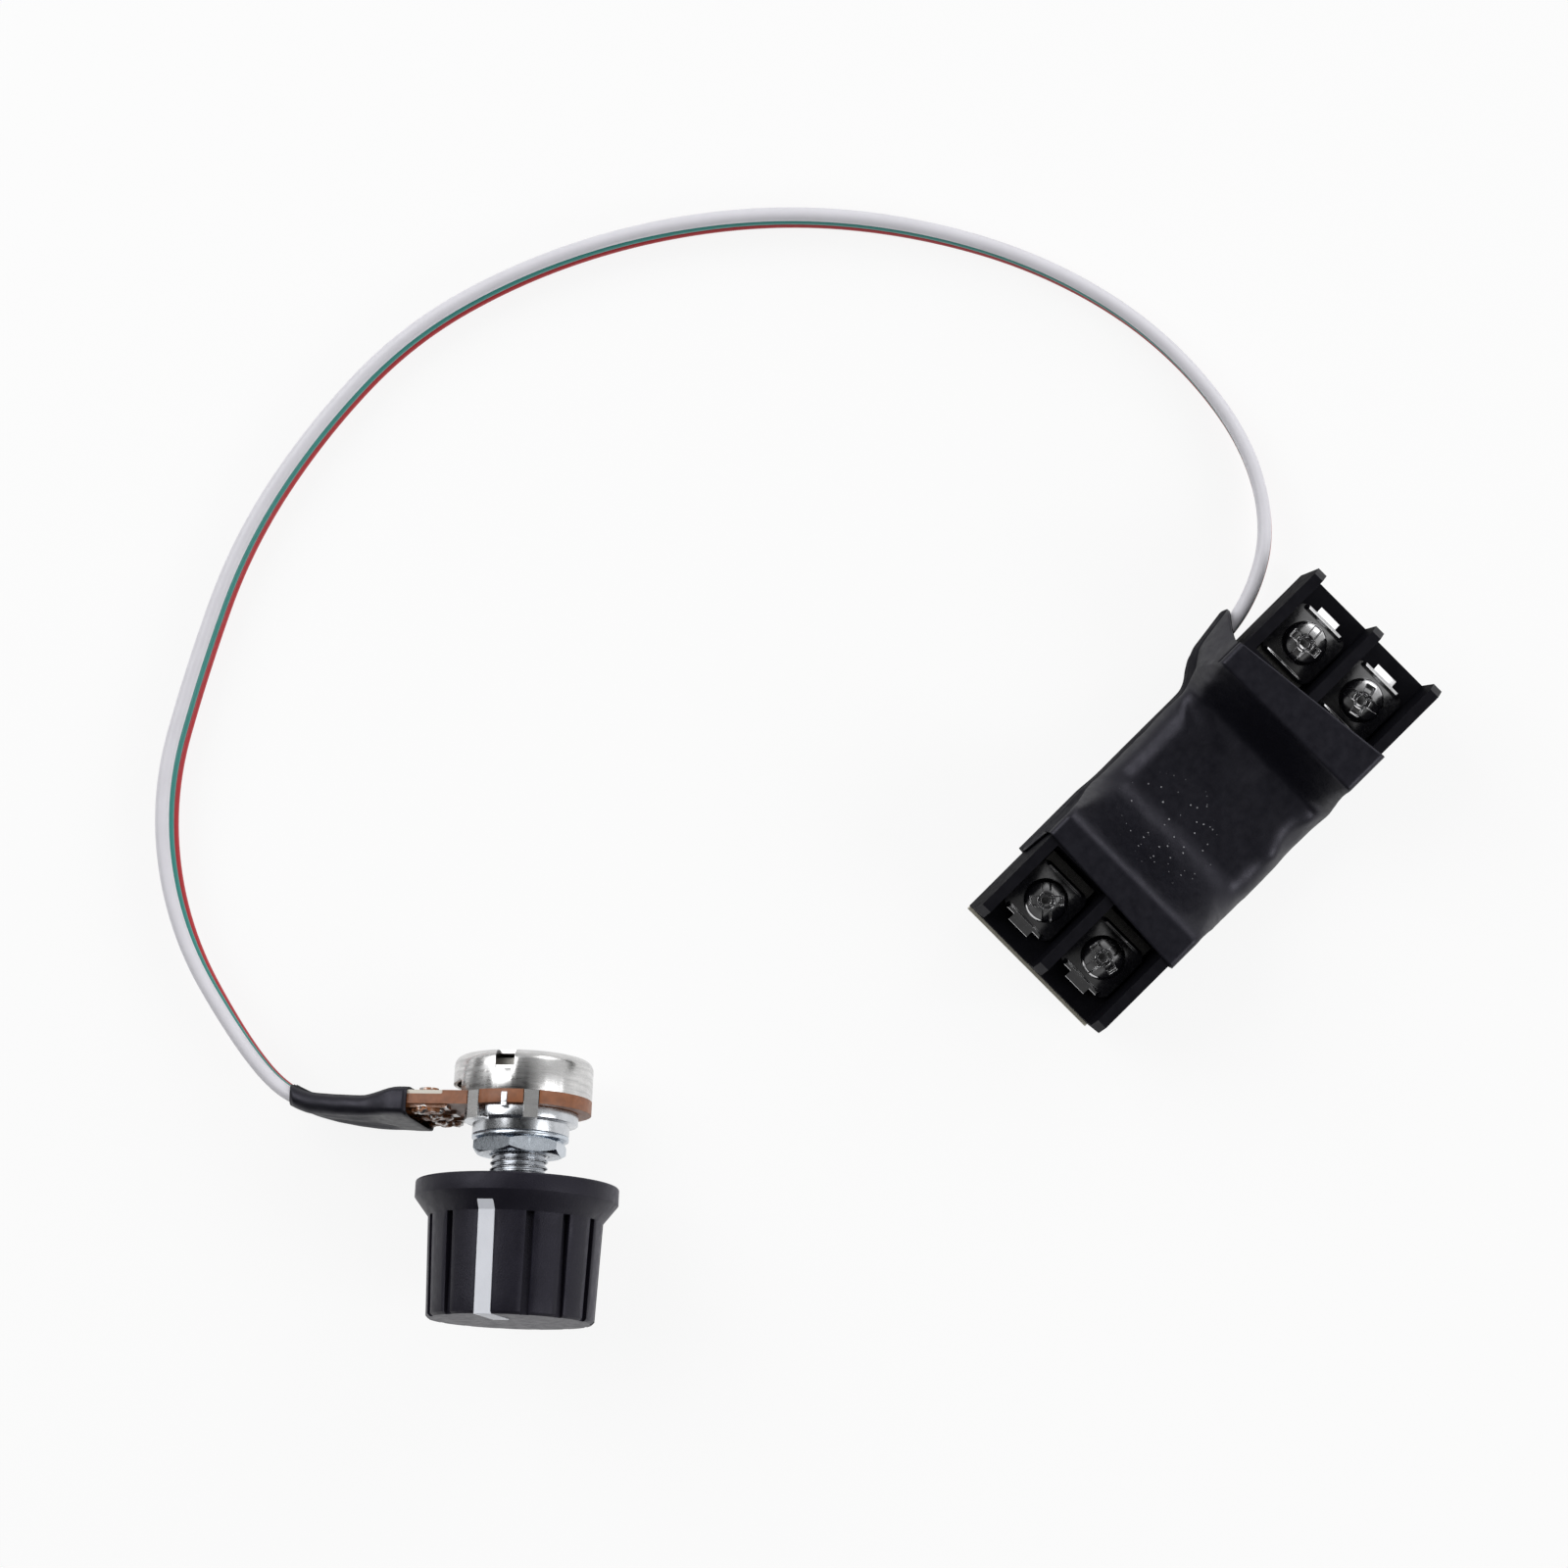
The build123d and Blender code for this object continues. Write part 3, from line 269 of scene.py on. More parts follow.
shades = {
    # Its upright walls get painted sheen from moulded, in place of their reflection.
    "block_plastic": moulded(
        "block_plastic", (0.0042, 0.0042, 0.0056), 0.42, gloss=0.2, sheen=BLACK_SHEEN, dull=0.001
    ),
    "heat_shrink": shrunk("heat_shrink"),
    "board_laminate": moulded("board_laminate", (0.42, 0.40, 0.33), 0.45),
    "nickel_plate": struck("nickel_plate"),
    "tinned_brass": plated("tinned_brass", (0.55, 0.54, 0.51), 0.2),
    "chip_plastic": moulded("chip_plastic", (0.02, 0.02, 0.022), 0.5),
    "capacitor_can": plated("capacitor_can", (0.7, 0.71, 0.73), 0.3),
    "resistor_film": moulded("resistor_film", (0.02, 0.02, 0.025), 0.3),
    "ceramic_tan": moulded("ceramic_tan", (0.45, 0.32, 0.2), 0.5),
    "diode_glass": moulded("diode_glass", (0.5, 0.16, 0.05), 0.15),
    "solder_tin": soldered("solder_tin"),
    "tinplate": drawn("tinplate"),
    "phenolic": laminate("phenolic"),
    "zinc_casting": plated("zinc_casting", (0.62, 0.64, 0.67), 0.24),
    "zinc_plate": plated("zinc_plate", (0.57, 0.62, 0.68), 0.26, scratch=0.000001),
    "shaft_metal": plated("shaft_metal", (0.68, 0.69, 0.70), 0.25),
    "spring_steel": plated("spring_steel", (0.4, 0.4, 0.41), 0.3),
    "rotor_plastic": moulded("rotor_plastic", (0.72, 0.7, 0.64), 0.5),
    "wiper_metal": plated("wiper_metal", (0.76, 0.56, 0.3), 0.3),
    # The knob's upright sides and front face get a strong painted sheen from moulded's upright-wall factor.
    "knob_plastic": moulded(
        "knob_plastic", (0.0090, 0.0084, 0.0130), 0.42,
        grain=0.00003, gloss=0.28, sheen=BLACK_SHEEN, dull=0.13, painted_sheen=3.6,
    ),
    "pointer_white": moulded("pointer_white", (0.74, 0.76, 0.82), 0.45, lift=0.93),
    "wire_white": moulded("wire_white", (0.78, 0.77, 0.82), 0.4, lift=0.95),
    "wire_green": moulded("wire_green", (0.02, 0.24, 0.21), 0.4, lift=1.1),
    "wire_red": moulded("wire_red", (0.50, 0.012, 0.02), 0.4, lift=0.9),
}


def dress(obj, slot):
    obj.data.materials.clear()
    obj.data.materials.append(shades[slot].mat)


for entry in record["subparts"]:
    dress(nodes[entry["node"]], entry["material_slot"])

# Rounded edges of the CAD pieces, and the widest seam that is closed before, in millimetres
EDGES = {
    "output_terminal_block": 0.14, "input_terminal_block": 0.14, "circuit_board": 0.06, "pot_can": 0.1,
    "wafer": 0.1, "lug_top": 0.06, "lug_middle": 0.06, "lug_bottom": 0.06, "lock_washer": 0.08,
    "panel_nut": 0.1, "knob": 0.14, "knob_pointer": 0.06,
}
SEAM = 0.002


def round_edges(obj, width, segments, angle):
    """Rounds the edges of a piece that turn by more than an angle, in degrees."""
    bevel = obj.modifiers.new("bevel", "BEVEL")
    bevel.width = width * MM
    bevel.segments = segments
    bevel.limit_method = "ANGLE"
    bevel.angle_limit = math.radians(angle)
    return bevel


def soften(obj, width):
    """Closes the seams of a CAD piece and rounds its edges."""
    weld = obj.modifiers.new("weld", "WELD")
    weld.merge_threshold = SEAM * MM
    bevel = round_edges(obj, width, segments=2, angle=32)
    bevel.harden_normals = True
    bevel.use_clamp_overlap = True


for name, width in EDGES.items():
    soften(nodes[name], width)


def piece(name, mesh, slot, body, *replaced):
    """A shown piece that rides on a body and stands for CAD nodes."""
    obj = bpy.data.objects.new(name, mesh)
    scene.collection.objects.link(obj)
    dress(obj, slot)
    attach(obj, body)
    if replaced:
        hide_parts(*replaced)
    return obj


# Ribbon of three wires: the middle wire's route from the sleeve to the board, in millimetres
WIRE_DIAMETER = 1.65 * MM
WIRE_PITCH = 1.7
RIBBON_ROUTE = [
    (-102.3, 51.0, 5.5),
    (-102.0, 59.7, 4.8),
    (-97.8, 75.4, 4.0),
    (-88.1, 88.2, 3.1),
    (-74.0, 96.2, 2.7),
    (-59.5, 103.1, 2.6),
    (-43.7, 106.4, 2.6),
    (-27.6, 106.9, 2.6),
    (-12.1, 102.5, 2.6),
    (2.2, 95.1, 2.6),
    (14.9, 85.1, 2.6),
    (25.1, 72.9, 2.6),
    (32.9, 58.7, 2.6),
    (36.8, 43.2, 2.7),
    (35.6, 27.6, 3.3),
    (29.8, 17.2, 4.7),
    (21.5, 12.4, 6.0),
    (12.8, 11.5, 6.6),
    (8.6, 9.4, 6.7),
]

# How far the ribbon, standing on edge, leans over at each of these points, in degrees
RIBBON_LEAN = (-4, -2, 6, 11, 11, 10, 9, 8, 7, 6, 4, 3, 0, -4, -8, -10, -9, -5, 0)

# Lugs, in their own frame: the wires start at their tips and lead straight off
LUG_PITCH = 4.8
LUG_TIP = 16.0
LUG_LEAD = 4.1
LUG_STATION = 6.6


def lug_point(reach, level):
    return LUG_SIDE @ Vector((reach * MM, -level * LUG_PITCH * MM, LUG_STATION * MM))


def wire_points(level):
    """Route of one wire, in metres; level is 1, 0 or -1 from the top."""
    points = [lug_point(LUG_TIP, level), lug_point(LUG_TIP + LUG_LEAD, level)]
    last = len(RIBBON_ROUTE) - 1
    for i, (x, y, z) in enumerate(RIBBON_ROUTE):
        before = RIBBON_ROUTE[max(i - 1, 0)]
        after = RIBBON_ROUTE[min(i + 1, last)]
        course = math.atan2(after[1] - before[1], after[0] - before[0])
        lean = math.radians(RIBBON_LEAN[i])
        aside = level * WIRE_PITCH * math.sin(lean)
        rise = level * WIRE_PITCH * math.cos(lean)
        points.append(Vector((x - aside * math.sin(course), y + aside * math.cos(course), z + rise)) * MM)
    return points


def route_curve(name, points):
    """One open NURBS spline with the route's points as its control points."""
    curve = bpy.data.curves.new(name, "CURVE")
    curve.dimensions = "3D"
    spline = curve.splines.new("NURBS")
    spline.points.add(len(points) - 1)
    for place, point in zip(spline.points, points):
        place.co = (*point, 1)
    spline.order_u = 3
    spline.use_endpoint_u = True
    spline.resolution_u = 12
    return curve


def route_line(level):
    """Points along a wire's own spline."""
    holder = bpy.data.objects.new("line", route_curve("line", wire_points(level)))
    scene.collection.objects.link(holder)
    mesh = bpy.data.meshes.new_from_object(holder)
    line = [vertex.co.copy() for vertex in mesh.vertices]
    bpy.data.meshes.remove(mesh)
    bpy.data.curves.remove(holder.data)
    return line


def make_wire(level, name):
    points = wire_points(level)
    curve = route_curve(name + "_line", points)
    curve.bevel_depth = WIRE_DIAMETER / 2
    curve.bevel_resolution = 6
    curve.use_fill_caps = True
    wire = piece(name + "_insulation", curve, name, "base", name)


for level, name in ((1, "wire_white"), (0, "wire_green"), (-1, "wire_red")):
    make_wire(level, name)


# Blends and meshes that the shown pieces share
def clamped(value):
    return min(max(value, 0.0), 1.0)


def ease(low, high, value):
    """Rises smoothly from 0 to 1 as value goes from low to high, either way round."""
    t = clamped((value - low) / (high - low))
    return t * t * (3 - 2 * t)


def soft_max(a, b, blend):
    overlap = max(blend - abs(a - b), 0) / blend
    return max(a, b) + overlap * overlap * blend / 4


def soft_min(a, b, blend):
    return -soft_max(-a, -b, blend)


def smooth(mesh):
    mesh.polygons.foreach_set("use_smooth", [True] * len(mesh.polygons))


def loft(name, loops, ring=False):
    """Quads between successive closed loops of points, in metres, with their outsides turned out."""
    count = len(loops[0])
    mesh = bpy.data.meshes.new(name)
    faces = []
    for i in range(len(loops) if ring else len(loops) - 1):
        after = (i + 1) % len(loops)
        for j in range(count):
            k = (j + 1) % count
            faces.append((i * count + j, i * count + k, after * count + k, after * count + j))
    mesh.from_pydata([point for loop in loops for point in loop], [], faces)
    work = bmesh.new()
    work.from_mesh(mesh)
    bmesh.ops.recalc_face_normals(work, faces=work.faces)
    work.to_mesh(mesh)
    work.free()
    smooth(mesh)
    return mesh


def turned(place, radius, station, steps):
    """Loop round a place's z axis; radius is a function of the station and the angle."""
    loop = []
    for j in range(steps):
        t = 2 * math.pi * j / steps
        r = radius(station, t)
        loop.append(place @ (Vector((r * math.cos(t), r * math.sin(t), station)) * MM))
    return loop


def thicken(obj, wall):
    solid = obj.modifiers.new("wall", "SOLIDIFY")
    solid.thickness = wall * MM
    solid.offset = -1
    solid.use_even_offset = True


# Heat-shrink wrap of the module, in millimetres: its ridges over the blocks and the dip between them
WRAP_TOP = 18.72
WRAP_HALF = 10.68
WRAP_WALL = 0.42
RIDGE = 12.15
RIDGE_FLAT = 0.85
RIDGE_CORNER = 0.75
DIP_TOP = 9.6
DIP_NEAR = 10.45
DIP_FAR = 12.15
DIP_CROWN = 0.55
DIP_CORNER = 3.4
LOW_CORNER = 1.2
OUTPUT_FOOT = 8.95
INPUT_FOOT = -6.55

# How softly the slope at each end leaves the dip and meets the top
OUTPUT_FOOT_BLEND = 2.4
INPUT_FOOT_BLEND = 5.0
OUTPUT_TOP_BLEND = 0.5
INPUT_TOP_BLEND = 1.8

# Its cut ends: where they lie, how they slant, and how much further the tube reaches down low
FLANK = 9
INPUT_CUT = -16.35
INPUT_SLANT = 0.55
OUTPUT_CUT = 16.65
OUTPUT_SLANT = -1.25
NEAR_SKIRT = 3.2
FAR_SKIRT = 2.6
UNDER_SKIRT = 1.5
FOLD_SKIRT = 2.9

# The fold round the ribbon, and the crease from its root with the tent that it lifts
FOLD_REACH = 2.35
FOLD_FLARE = 0.85
FOLD_ROOT = Vector((9.8, 10.2))
FOLD_CREASE = Vector((-0.40, -0.92))
TENT_LENGTH = 10.5
TENT_RISE = 1.5
TENT_CORNER = 1.2

# Bumps and hollows: middle, radius and height
BULGES = (
    (Vector((1.4, -9.6, 9.2)), 1.6, 0.7),
    (Vector((7.7, -10.4, 9.4)), 1.4, 0.5),
    (Vector((4.6, -11.0, 8.4)), 1.9, -0.3),
    (Vector((-3.2, -10.4, 8.8)), 2.6, 0.35),
    (Vector((-5.0, 6.4, 9.6)), 2.8, -0.3),
    (Vector((7.0, -4.5, 10.0)), 3.0, -0.3),
    (Vector((-2.0, -2.6, 10.0)), 3.2, -0.25),
)

# Loops of the wrap's mesh: the spacing between its ridges, and how many lead to each cut end
LOOP_STEP = 0.2
INPUT_LOOPS = 14
OUTPUT_LOOPS = 16

# Points of each loop: on the underside, on each low corner, side and high corner, and on the top
UNDER_POINTS = 14
LOW_POINTS = 6
SIDE_POINTS = 20
HIGH_POINTS = 12
TOP_POINTS = 56


def wrap_level(x):
    """Height of the wrap's top along the module."""
    output = DIP_TOP + (x - OUTPUT_FOOT) * (WRAP_TOP - DIP_TOP) / (RIDGE - OUTPUT_FOOT)
    entry = DIP_TOP + (INPUT_FOOT - x) * (WRAP_TOP - DIP_TOP) / (RIDGE + INPUT_FOOT)
    slope = max(soft_max(output, DIP_TOP, OUTPUT_FOOT_BLEND), soft_max(entry, DIP_TOP, INPUT_FOOT_BLEND))
    return soft_min(slope, WRAP_TOP, OUTPUT_TOP_BLEND if x > 0 else INPUT_TOP_BLEND)


def wrap_section(x):
    """Outline across the wrap: underside, ribbon's side, top and far side, as pairs of y and z."""
    top = wrap_level(x)
    rise = (top - DIP_TOP) / (WRAP_TOP - DIP_TOP)
    near = DIP_NEAR + (WRAP_HALF - DIP_NEAR) * ease(0, 0.5, rise)
    far = DIP_FAR + (WRAP_HALF - DIP_FAR) * ease(0, 1, rise)
    upper = DIP_CORNER + (RIDGE_CORNER - DIP_CORNER) * ease(0, 1, rise)
    tight = upper + (TENT_CORNER - upper) * ease(4.0, 7.5, x) * (1 - ease(0, 1, rise))
    points = []

    def run(start, end, count):
        for i in range(count):
            share = i / count
            points.append((start[0] + (end[0] - start[0]) * share, start[1] + (end[1] - start[1]) * share))

    def turn(center, radius, first, count):
        for i in range(count):
            angle = math.radians(first + 90 * i / count)
            points.append((center[0] + radius * math.cos(angle), center[1] + radius * math.sin(angle)))

    run((LOW_CORNER - far, 0), (near - LOW_CORNER, 0), UNDER_POINTS)
    turn((near - LOW_CORNER, LOW_CORNER), LOW_CORNER, -90, LOW_POINTS)
    run((near, LOW_CORNER), (near, top - tight), SIDE_POINTS)
    turn((near - tight, top - tight), tight, 0, HIGH_POINTS)
    run((near - tight, top), (upper - far, top), TOP_POINTS)
    turn((upper - far, top - upper), upper, 90, HIGH_POINTS)
    run((-far, top - upper), (-far, LOW_CORNER), SIDE_POINTS)
    turn((LOW_CORNER - far, LOW_CORNER), LOW_CORNER, 180, LOW_POINTS)
    crown = DIP_CROWN * (1 - ease(0, 0.6, rise))
    return [(y, z + crown * (1 - (y / far) ** 2) * ease(4, 8, z)) for y, z in points]


def wrap_ends(y, z):
    """Where the tube is cut at the input and at the output end."""
    across = y / WRAP_HALF
    entry = INPUT_CUT + INPUT_SLANT * across
    output = OUTPUT_CUT + OUTPUT_SLANT * across
    low = ease(13.5, 6.5, z)
    if y > FLANK:
        entry -= NEAR_SKIRT * low
        output += FOLD_SKIRT * ease(16.5, 9.0, z) * ease(1.0, 3.0, z)
    elif y < -FLANK:
        entry -= FAR_SKIRT * low
    else:
        entry -= UNDER_SKIRT * low
    return entry, output


def fold_reach(x):
    """How far the fold stands out round the ribbon."""
    return FOLD_REACH * ease(7.2, 13.2, x) + FOLD_FLARE * clamped((x - 12) / 6)


def tent(x, y):
    """Share of the tent's rise: it falls off along the crease and to both its sides."""
    spot = Vector((x, y)) - FOLD_ROOT
    run = spot.dot(FOLD_CREASE)
    aside = spot.dot(Vector((-FOLD_CREASE.y, FOLD_CREASE.x)))
    across = ease(7.5, -0.5, aside) if aside > 0 else ease(-2.6, 0.3, aside)
    return clamped(1 - run / TENT_LENGTH) ** 1.5 * across


def wrap_point(x, y, z):
    """Point of the wrap with its fold, crease, bumps and ripples."""
    place = Vector((x, y, z))
    out = Vector((0, y, z - 5)).normalized()
    shift = sum(height * math.exp(-((place - spot).length / radius) ** 2) for spot, radius, height in BULGES)
    lift = TENT_RISE * tent(x, y) * ease(7.0, 9.0, z) * ease(17, 12, z) * ease(10.4, 8.6, y)
    ripple = noise.noise(place * 0.17) * 0.22 + noise.noise(place * 0.55) * 0.05
    ridge = ease(11.4, 12.4, abs(x))
    place += out * (shift * (1 - ridge) + ripple * (1 - 0.8 * ridge) * ease(0.5, 3, z))
    place.z += lift * (1 - ridge)
    if y > 0:
        drape = ease(17.8, 9.5, z) * ease(0.2, 3.4, z)
        place.y += fold_reach(x) * drape * ease(6.5, 10.0, y)
    return place * MM


def end_loop(station, end, share):
    """Loop part of the way from a station to a cut end, which is 0 for the input and 1 for the output."""
    loop = []
    for y, z in wrap_section(station):
        loop.append(wrap_point(station + (wrap_ends(y, z)[end] - station) * share, y, z))
    return loop


def make_wrap():
    reach = RIDGE + RIDGE_FLAT
    stations = [LOOP_STEP * i - reach for i in range(round(2 * reach / LOOP_STEP) + 1)]
    loops = [end_loop(stations[0], 0, i / INPUT_LOOPS) for i in range(INPUT_LOOPS, 0, -1)]
    loops += [[wrap_point(x, y, z) for y, z in wrap_section(x)] for x in stations]
    loops += [end_loop(stations[-1], 1, i / OUTPUT_LOOPS) for i in range(1, OUTPUT_LOOPS + 1)]
    wrap = piece("shrink_wrap", loft("shrink_wrap", loops), "heat_shrink", "base", "module_wrap")
    thicken(wrap, WRAP_WALL)


make_wrap()


# Sleeve over the lugs, in millimetres: a heat-shrink tube drawn down on the three wires
SLEEVE_RADIUS = 1.27
SLEEVE_WEB = 0.78
SLEEVE_WALL = 0.3
SLEEVE_START = 12.4
SLEEVE_PAST = 0.8
SLEEVE_SIDE = 26
ROOT_LOOPS = 6
WRINKLE = 0.12

# Its mouth over the lugs, nearly a rectangle
MOUTH_HALF = 6.95
MOUTH_DEPTH = 1.85
MOUTH_OFFSET = -0.5
MOUTH_ROUNDING = 0.33


def sleeve_section(top, bottom):
    """Loop round the three wires, from the middles of the outer two."""
    stack = (top - bottom) / MM
    half = stack.length / 2
    reach = half + SLEEVE_RADIUS
    up = stack.normalized()
    face = (POT_ALONG - up * POT_ALONG.dot(up)).normalized()
    loop = []
    for i in range(2 * SLEEVE_SIDE):
        a = -reach * math.cos(math.pi * i / SLEEVE_SIDE)
        depth = SLEEVE_WEB if abs(a) < half else 0.0
        for center in (-half, 0.0, half):
            room = SLEEVE_RADIUS ** 2 - (a - center) ** 2
            if room > 0:
                depth = soft_max(depth, math.sqrt(room), 0.25)
        if abs(a) > half:
            depth = math.sqrt(max(SLEEVE_RADIUS ** 2 - (abs(a) - half) ** 2, 0))
        b = depth if i < SLEEVE_SIDE else -depth
        loop.append((top + bottom) / 2 + (up * a + face * b) * MM)
    return loop


def sleeve_loops():
    """Loops over the lugs to their tips, and on along the wires to the route's first point."""
    out = LUG_SIDE.to_3x3() @ Vector((1, 0, 0))
    root = sleeve_section(lug_point(LUG_TIP, 1), lug_point(LUG_TIP, -1))
    loops = []
    for i in range(ROOT_LOOPS):
        back = out * (LUG_TIP - SLEEVE_START) * (1 - i / ROOT_LOOPS) * MM
        loops.append([point - back for point in root])
    stop = Vector(RIBBON_ROUTE[0])
    onward = (Vector(RIBBON_ROUTE[1]) - stop).normalized()
    for top, middle, bottom in zip(route_line(1), route_line(0), route_line(-1)):
        if (middle / MM - stop).dot(onward) > SLEEVE_PAST:
            break
        loops.append(sleeve_section(top, bottom))
    return loops


def squarish(wave):
    return math.copysign(abs(wave) ** MOUTH_ROUNDING, wave)


def make_sleeve():
    start = lug_point(SLEEVE_START, 0)
    up = LUG_SIDE.to_3x3() @ Vector((0, -1, 0))
    wrinkled = []
    for loop in sleeve_loops():
        center = sum(loop, Vector()) / len(loop)
        squared = ease(6.0, 1.4, (center - start).length / MM)
        ring = []
        for i, point in enumerate(loop):
            turn = math.pi * i / SLEEVE_SIDE
            a = -MOUTH_HALF * squarish(math.cos(turn))
            b = MOUTH_OFFSET + MOUTH_DEPTH * squarish(math.sin(turn))
            point = point.lerp(center + (up * a + POT_ALONG * b) * MM, squared)
            ring.append(point + (point - center).normalized() * noise.noise(point / MM * 0.5) * WRINKLE * MM)
        wrinkled.append(ring)
    sleeve = piece("shrink_sleeve", loft("shrink_sleeve", wrinkled), "heat_shrink", "base", "lug_sleeve")
    thicken(sleeve, SLEEVE_WALL)


make_sleeve()


# Bushing, in millimetres: radius and station of its plate and boss, its cut thread, and its mouth
THREAD_PITCH = 0.75
THREAD_CREST = 3.45
THREAD_ROOT = 3.08
THREAD_START = 9.25
THREAD_END = 15.45
THREAD_LOOPS = 96
THREAD_CHAMFER = 0.3
BUSHING_BORE = 2.55
BUSHING_STEPS = 96
PLATE_AND_BOSS = (
    (BUSHING_BORE, 6.4), (6.6, 6.4), (6.75, 6.5), (6.75, 7.62), (6.68, 7.74), (6.55, 7.8), (5.85, 7.8),
    (5.75, 7.86), (5.75, 9.02), (5.7, 9.14), (5.6, 9.2), (THREAD_CREST, 9.2),
)
BUSHING_MOUTH = ((2.8, 15.5), (BUSHING_BORE, 15.45))


def plain_radius(r):
    """A radius that is the same all round."""
    return lambda station, t: r


def thread_radius(station, t):
    """Radius of the bushing's thread, which runs out at the boss and is chamfered in front."""
    phase = (station / THREAD_PITCH - t / (2 * math.pi)) % 1.0
    tooth = clamped(abs(phase - 0.5) * 2.6 - 0.15) * ease(9.2, 9.7, station)
    chamfer = THREAD_CHAMFER * ease(15.1, 15.5, station)
    return THREAD_CREST - (THREAD_CREST - THREAD_ROOT) * tooth - chamfer


def make_bushing():
    loops = []
    for r, station in PLATE_AND_BOSS:
        loops.append(turned(POT, plain_radius(r), station, BUSHING_STEPS))
    for i in range(THREAD_LOOPS + 1):
        station = THREAD_START + (THREAD_END - THREAD_START) * i / THREAD_LOOPS
        loops.append(turned(POT, thread_radius, station, BUSHING_STEPS))
    for r, station in BUSHING_MOUTH:
        loops.append(turned(POT, plain_radius(r), station, BUSHING_STEPS))
    mesh = loft("cut_bushing", loops, ring=True)
    bushing = piece("cut_bushing", mesh, "zinc_casting", "base", "threaded_bushing")
    round_edges(bushing, 0.04, segments=2, angle=40)


make_bushing()


# Solder and flux heaped over each lug's riveted foot: the lumps' places in the lugs' frame, and half sizes
LUMPS = (
    (Vector((9.3, 0.3, 6.95)), Vector((0.9, 1.0, 0.35))),
    (Vector((10.6, -0.4, 7.05)), Vector((1.0, 1.2, 0.45))),
    (Vector((11.7, 0.3, 6.95)), Vector((0.8, 0.9, 0.35))),
)


def make_solder():
    work = bmesh.new()
    for level in (1, 0, -1):
        foot = Vector((0, -level * LUG_PITCH, 0))
        for place, half in LUMPS:
            made = bmesh.ops.create_icosphere(work, subdivisions=4, radius=1.0)
            for vertex in made["verts"]:
                point = vertex.co * half + place + foot
                point += vertex.co * (noise.noise(point * 1.3) * 0.28 + noise.noise(point * 3.5) * 0.12)
                vertex.co = LUG_SIDE @ (point * MM)
    mesh = bpy.data.meshes.new("lug_solder")
    work.to_mesh(mesh)
    work.free()
    smooth(mesh)
    piece("lug_solder", mesh, "solder_tin", "base")


make_solder()


# Front plate's key between the can's tabs, with a post that stands up past the wafer
KEY_ANGLE = 10.5
KEY_STEPS = 12

# Its bars: degrees to each side, then radii and stations in millimetres
KEY_BARS = (
    (19.5, (7.1, 7.62), (6.46, 7.78)),
    (2.4, (7.4, 8.45), (6.3, 6.9)),
    (2.4, (8.05, 8.45), (5.2, 6.5)),
)


def make_key():
    work = bmesh.new()
    for spread, (low, high), (back, front) in KEY_BARS:
        loops = []
        for i in range(KEY_STEPS + 1):
            t = math.radians(KEY_ANGLE + spread * (2 * i / KEY_STEPS - 1))
            loops.append([
                POT @ (Vector((r * math.cos(t), r * math.sin(t), station)) * MM)
                for r, station in ((low, back), (high, back), (high, front), (low, front))
            ])
        bar = loft("bar", loops)
        work.from_mesh(bar)
        bpy.data.meshes.remove(bar)
    bmesh.ops.holes_fill(work, edges=[edge for edge in work.edges if edge.is_boundary])
    mesh = bpy.data.meshes.new("plate_key")
    work.to_mesh(mesh)
    work.free()
    key = piece("plate_key", mesh, "zinc_casting", "base")
    round_edges(key, 0.12, segments=3, angle=40)


make_key()


# Terminals, in millimetres: where the screws stand, and the headings of their slots in degrees
TERMINAL_PITCH = 9.5
SCREW_STATION = 21.5
SCREW_PLACES = {
    1: (SCREW_STATION, -TERMINAL_PITCH / 2),
    2: (SCREW_STATION, TERMINAL_PITCH / 2),
    3: (-SCREW_STATION, TERMINAL_PITCH / 2),
    4: (-SCREW_STATION, -TERMINAL_PITCH / 2),
}
SCREW_HEADINGS = {1: -77, 2: 3, 3: 45, 4: -10}


def raised(name, reach, step, snap, height, floor, turn):
    """A mesh of heights over a square grid of the given half-width, closed below.

    snap moves a point of the grid onto the outline or drops it.
    """
    count = round(2 * reach / step)
    work = bmesh.new()
    grid = {}
    for i in range(count + 1):
        for j in range(count + 1):
            spot = snap(Vector((i * step - reach, j * step - reach)), step)
            if spot is not None:
                grid[i, j] = work.verts.new((spot.x, spot.y, height(spot.x, spot.y)))
    for i, j in grid:
        corners = [(i, j), (i + 1, j), (i + 1, j + 1), (i, j + 1)]
        if all(corner in grid for corner in corners):
            work.faces.new([grid[corner] for corner in corners])
    bmesh.ops.delete(work, geom=[vertex for vertex in work.verts if not vertex.link_faces], context="VERTS")
    bmesh.ops.remove_doubles(work, verts=work.verts, dist=0.001)
    rim = [edge for edge in work.edges if edge.is_boundary]
    skirt = bmesh.ops.extrude_edge_only(work, edges=rim)["geom"]
    for vertex in skirt:
        if isinstance(vertex, bmesh.types.BMVert):
            vertex.co.z = floor
    bmesh.ops.holes_fill(work, edges=[edge for edge in work.edges if edge.is_boundary])
    bmesh.ops.recalc_face_normals(work, faces=work.faces)
    bmesh.ops.transform(work, matrix=turn @ Matrix.Scale(MM, 4), verts=work.verts)
    mesh = bpy.data.meshes.new(name)
    work.to_mesh(mesh)
    work.free()
    for polygon in mesh.polygons:
        polygon.use_smooth = len(polygon.vertices) <= 4
    return mesh


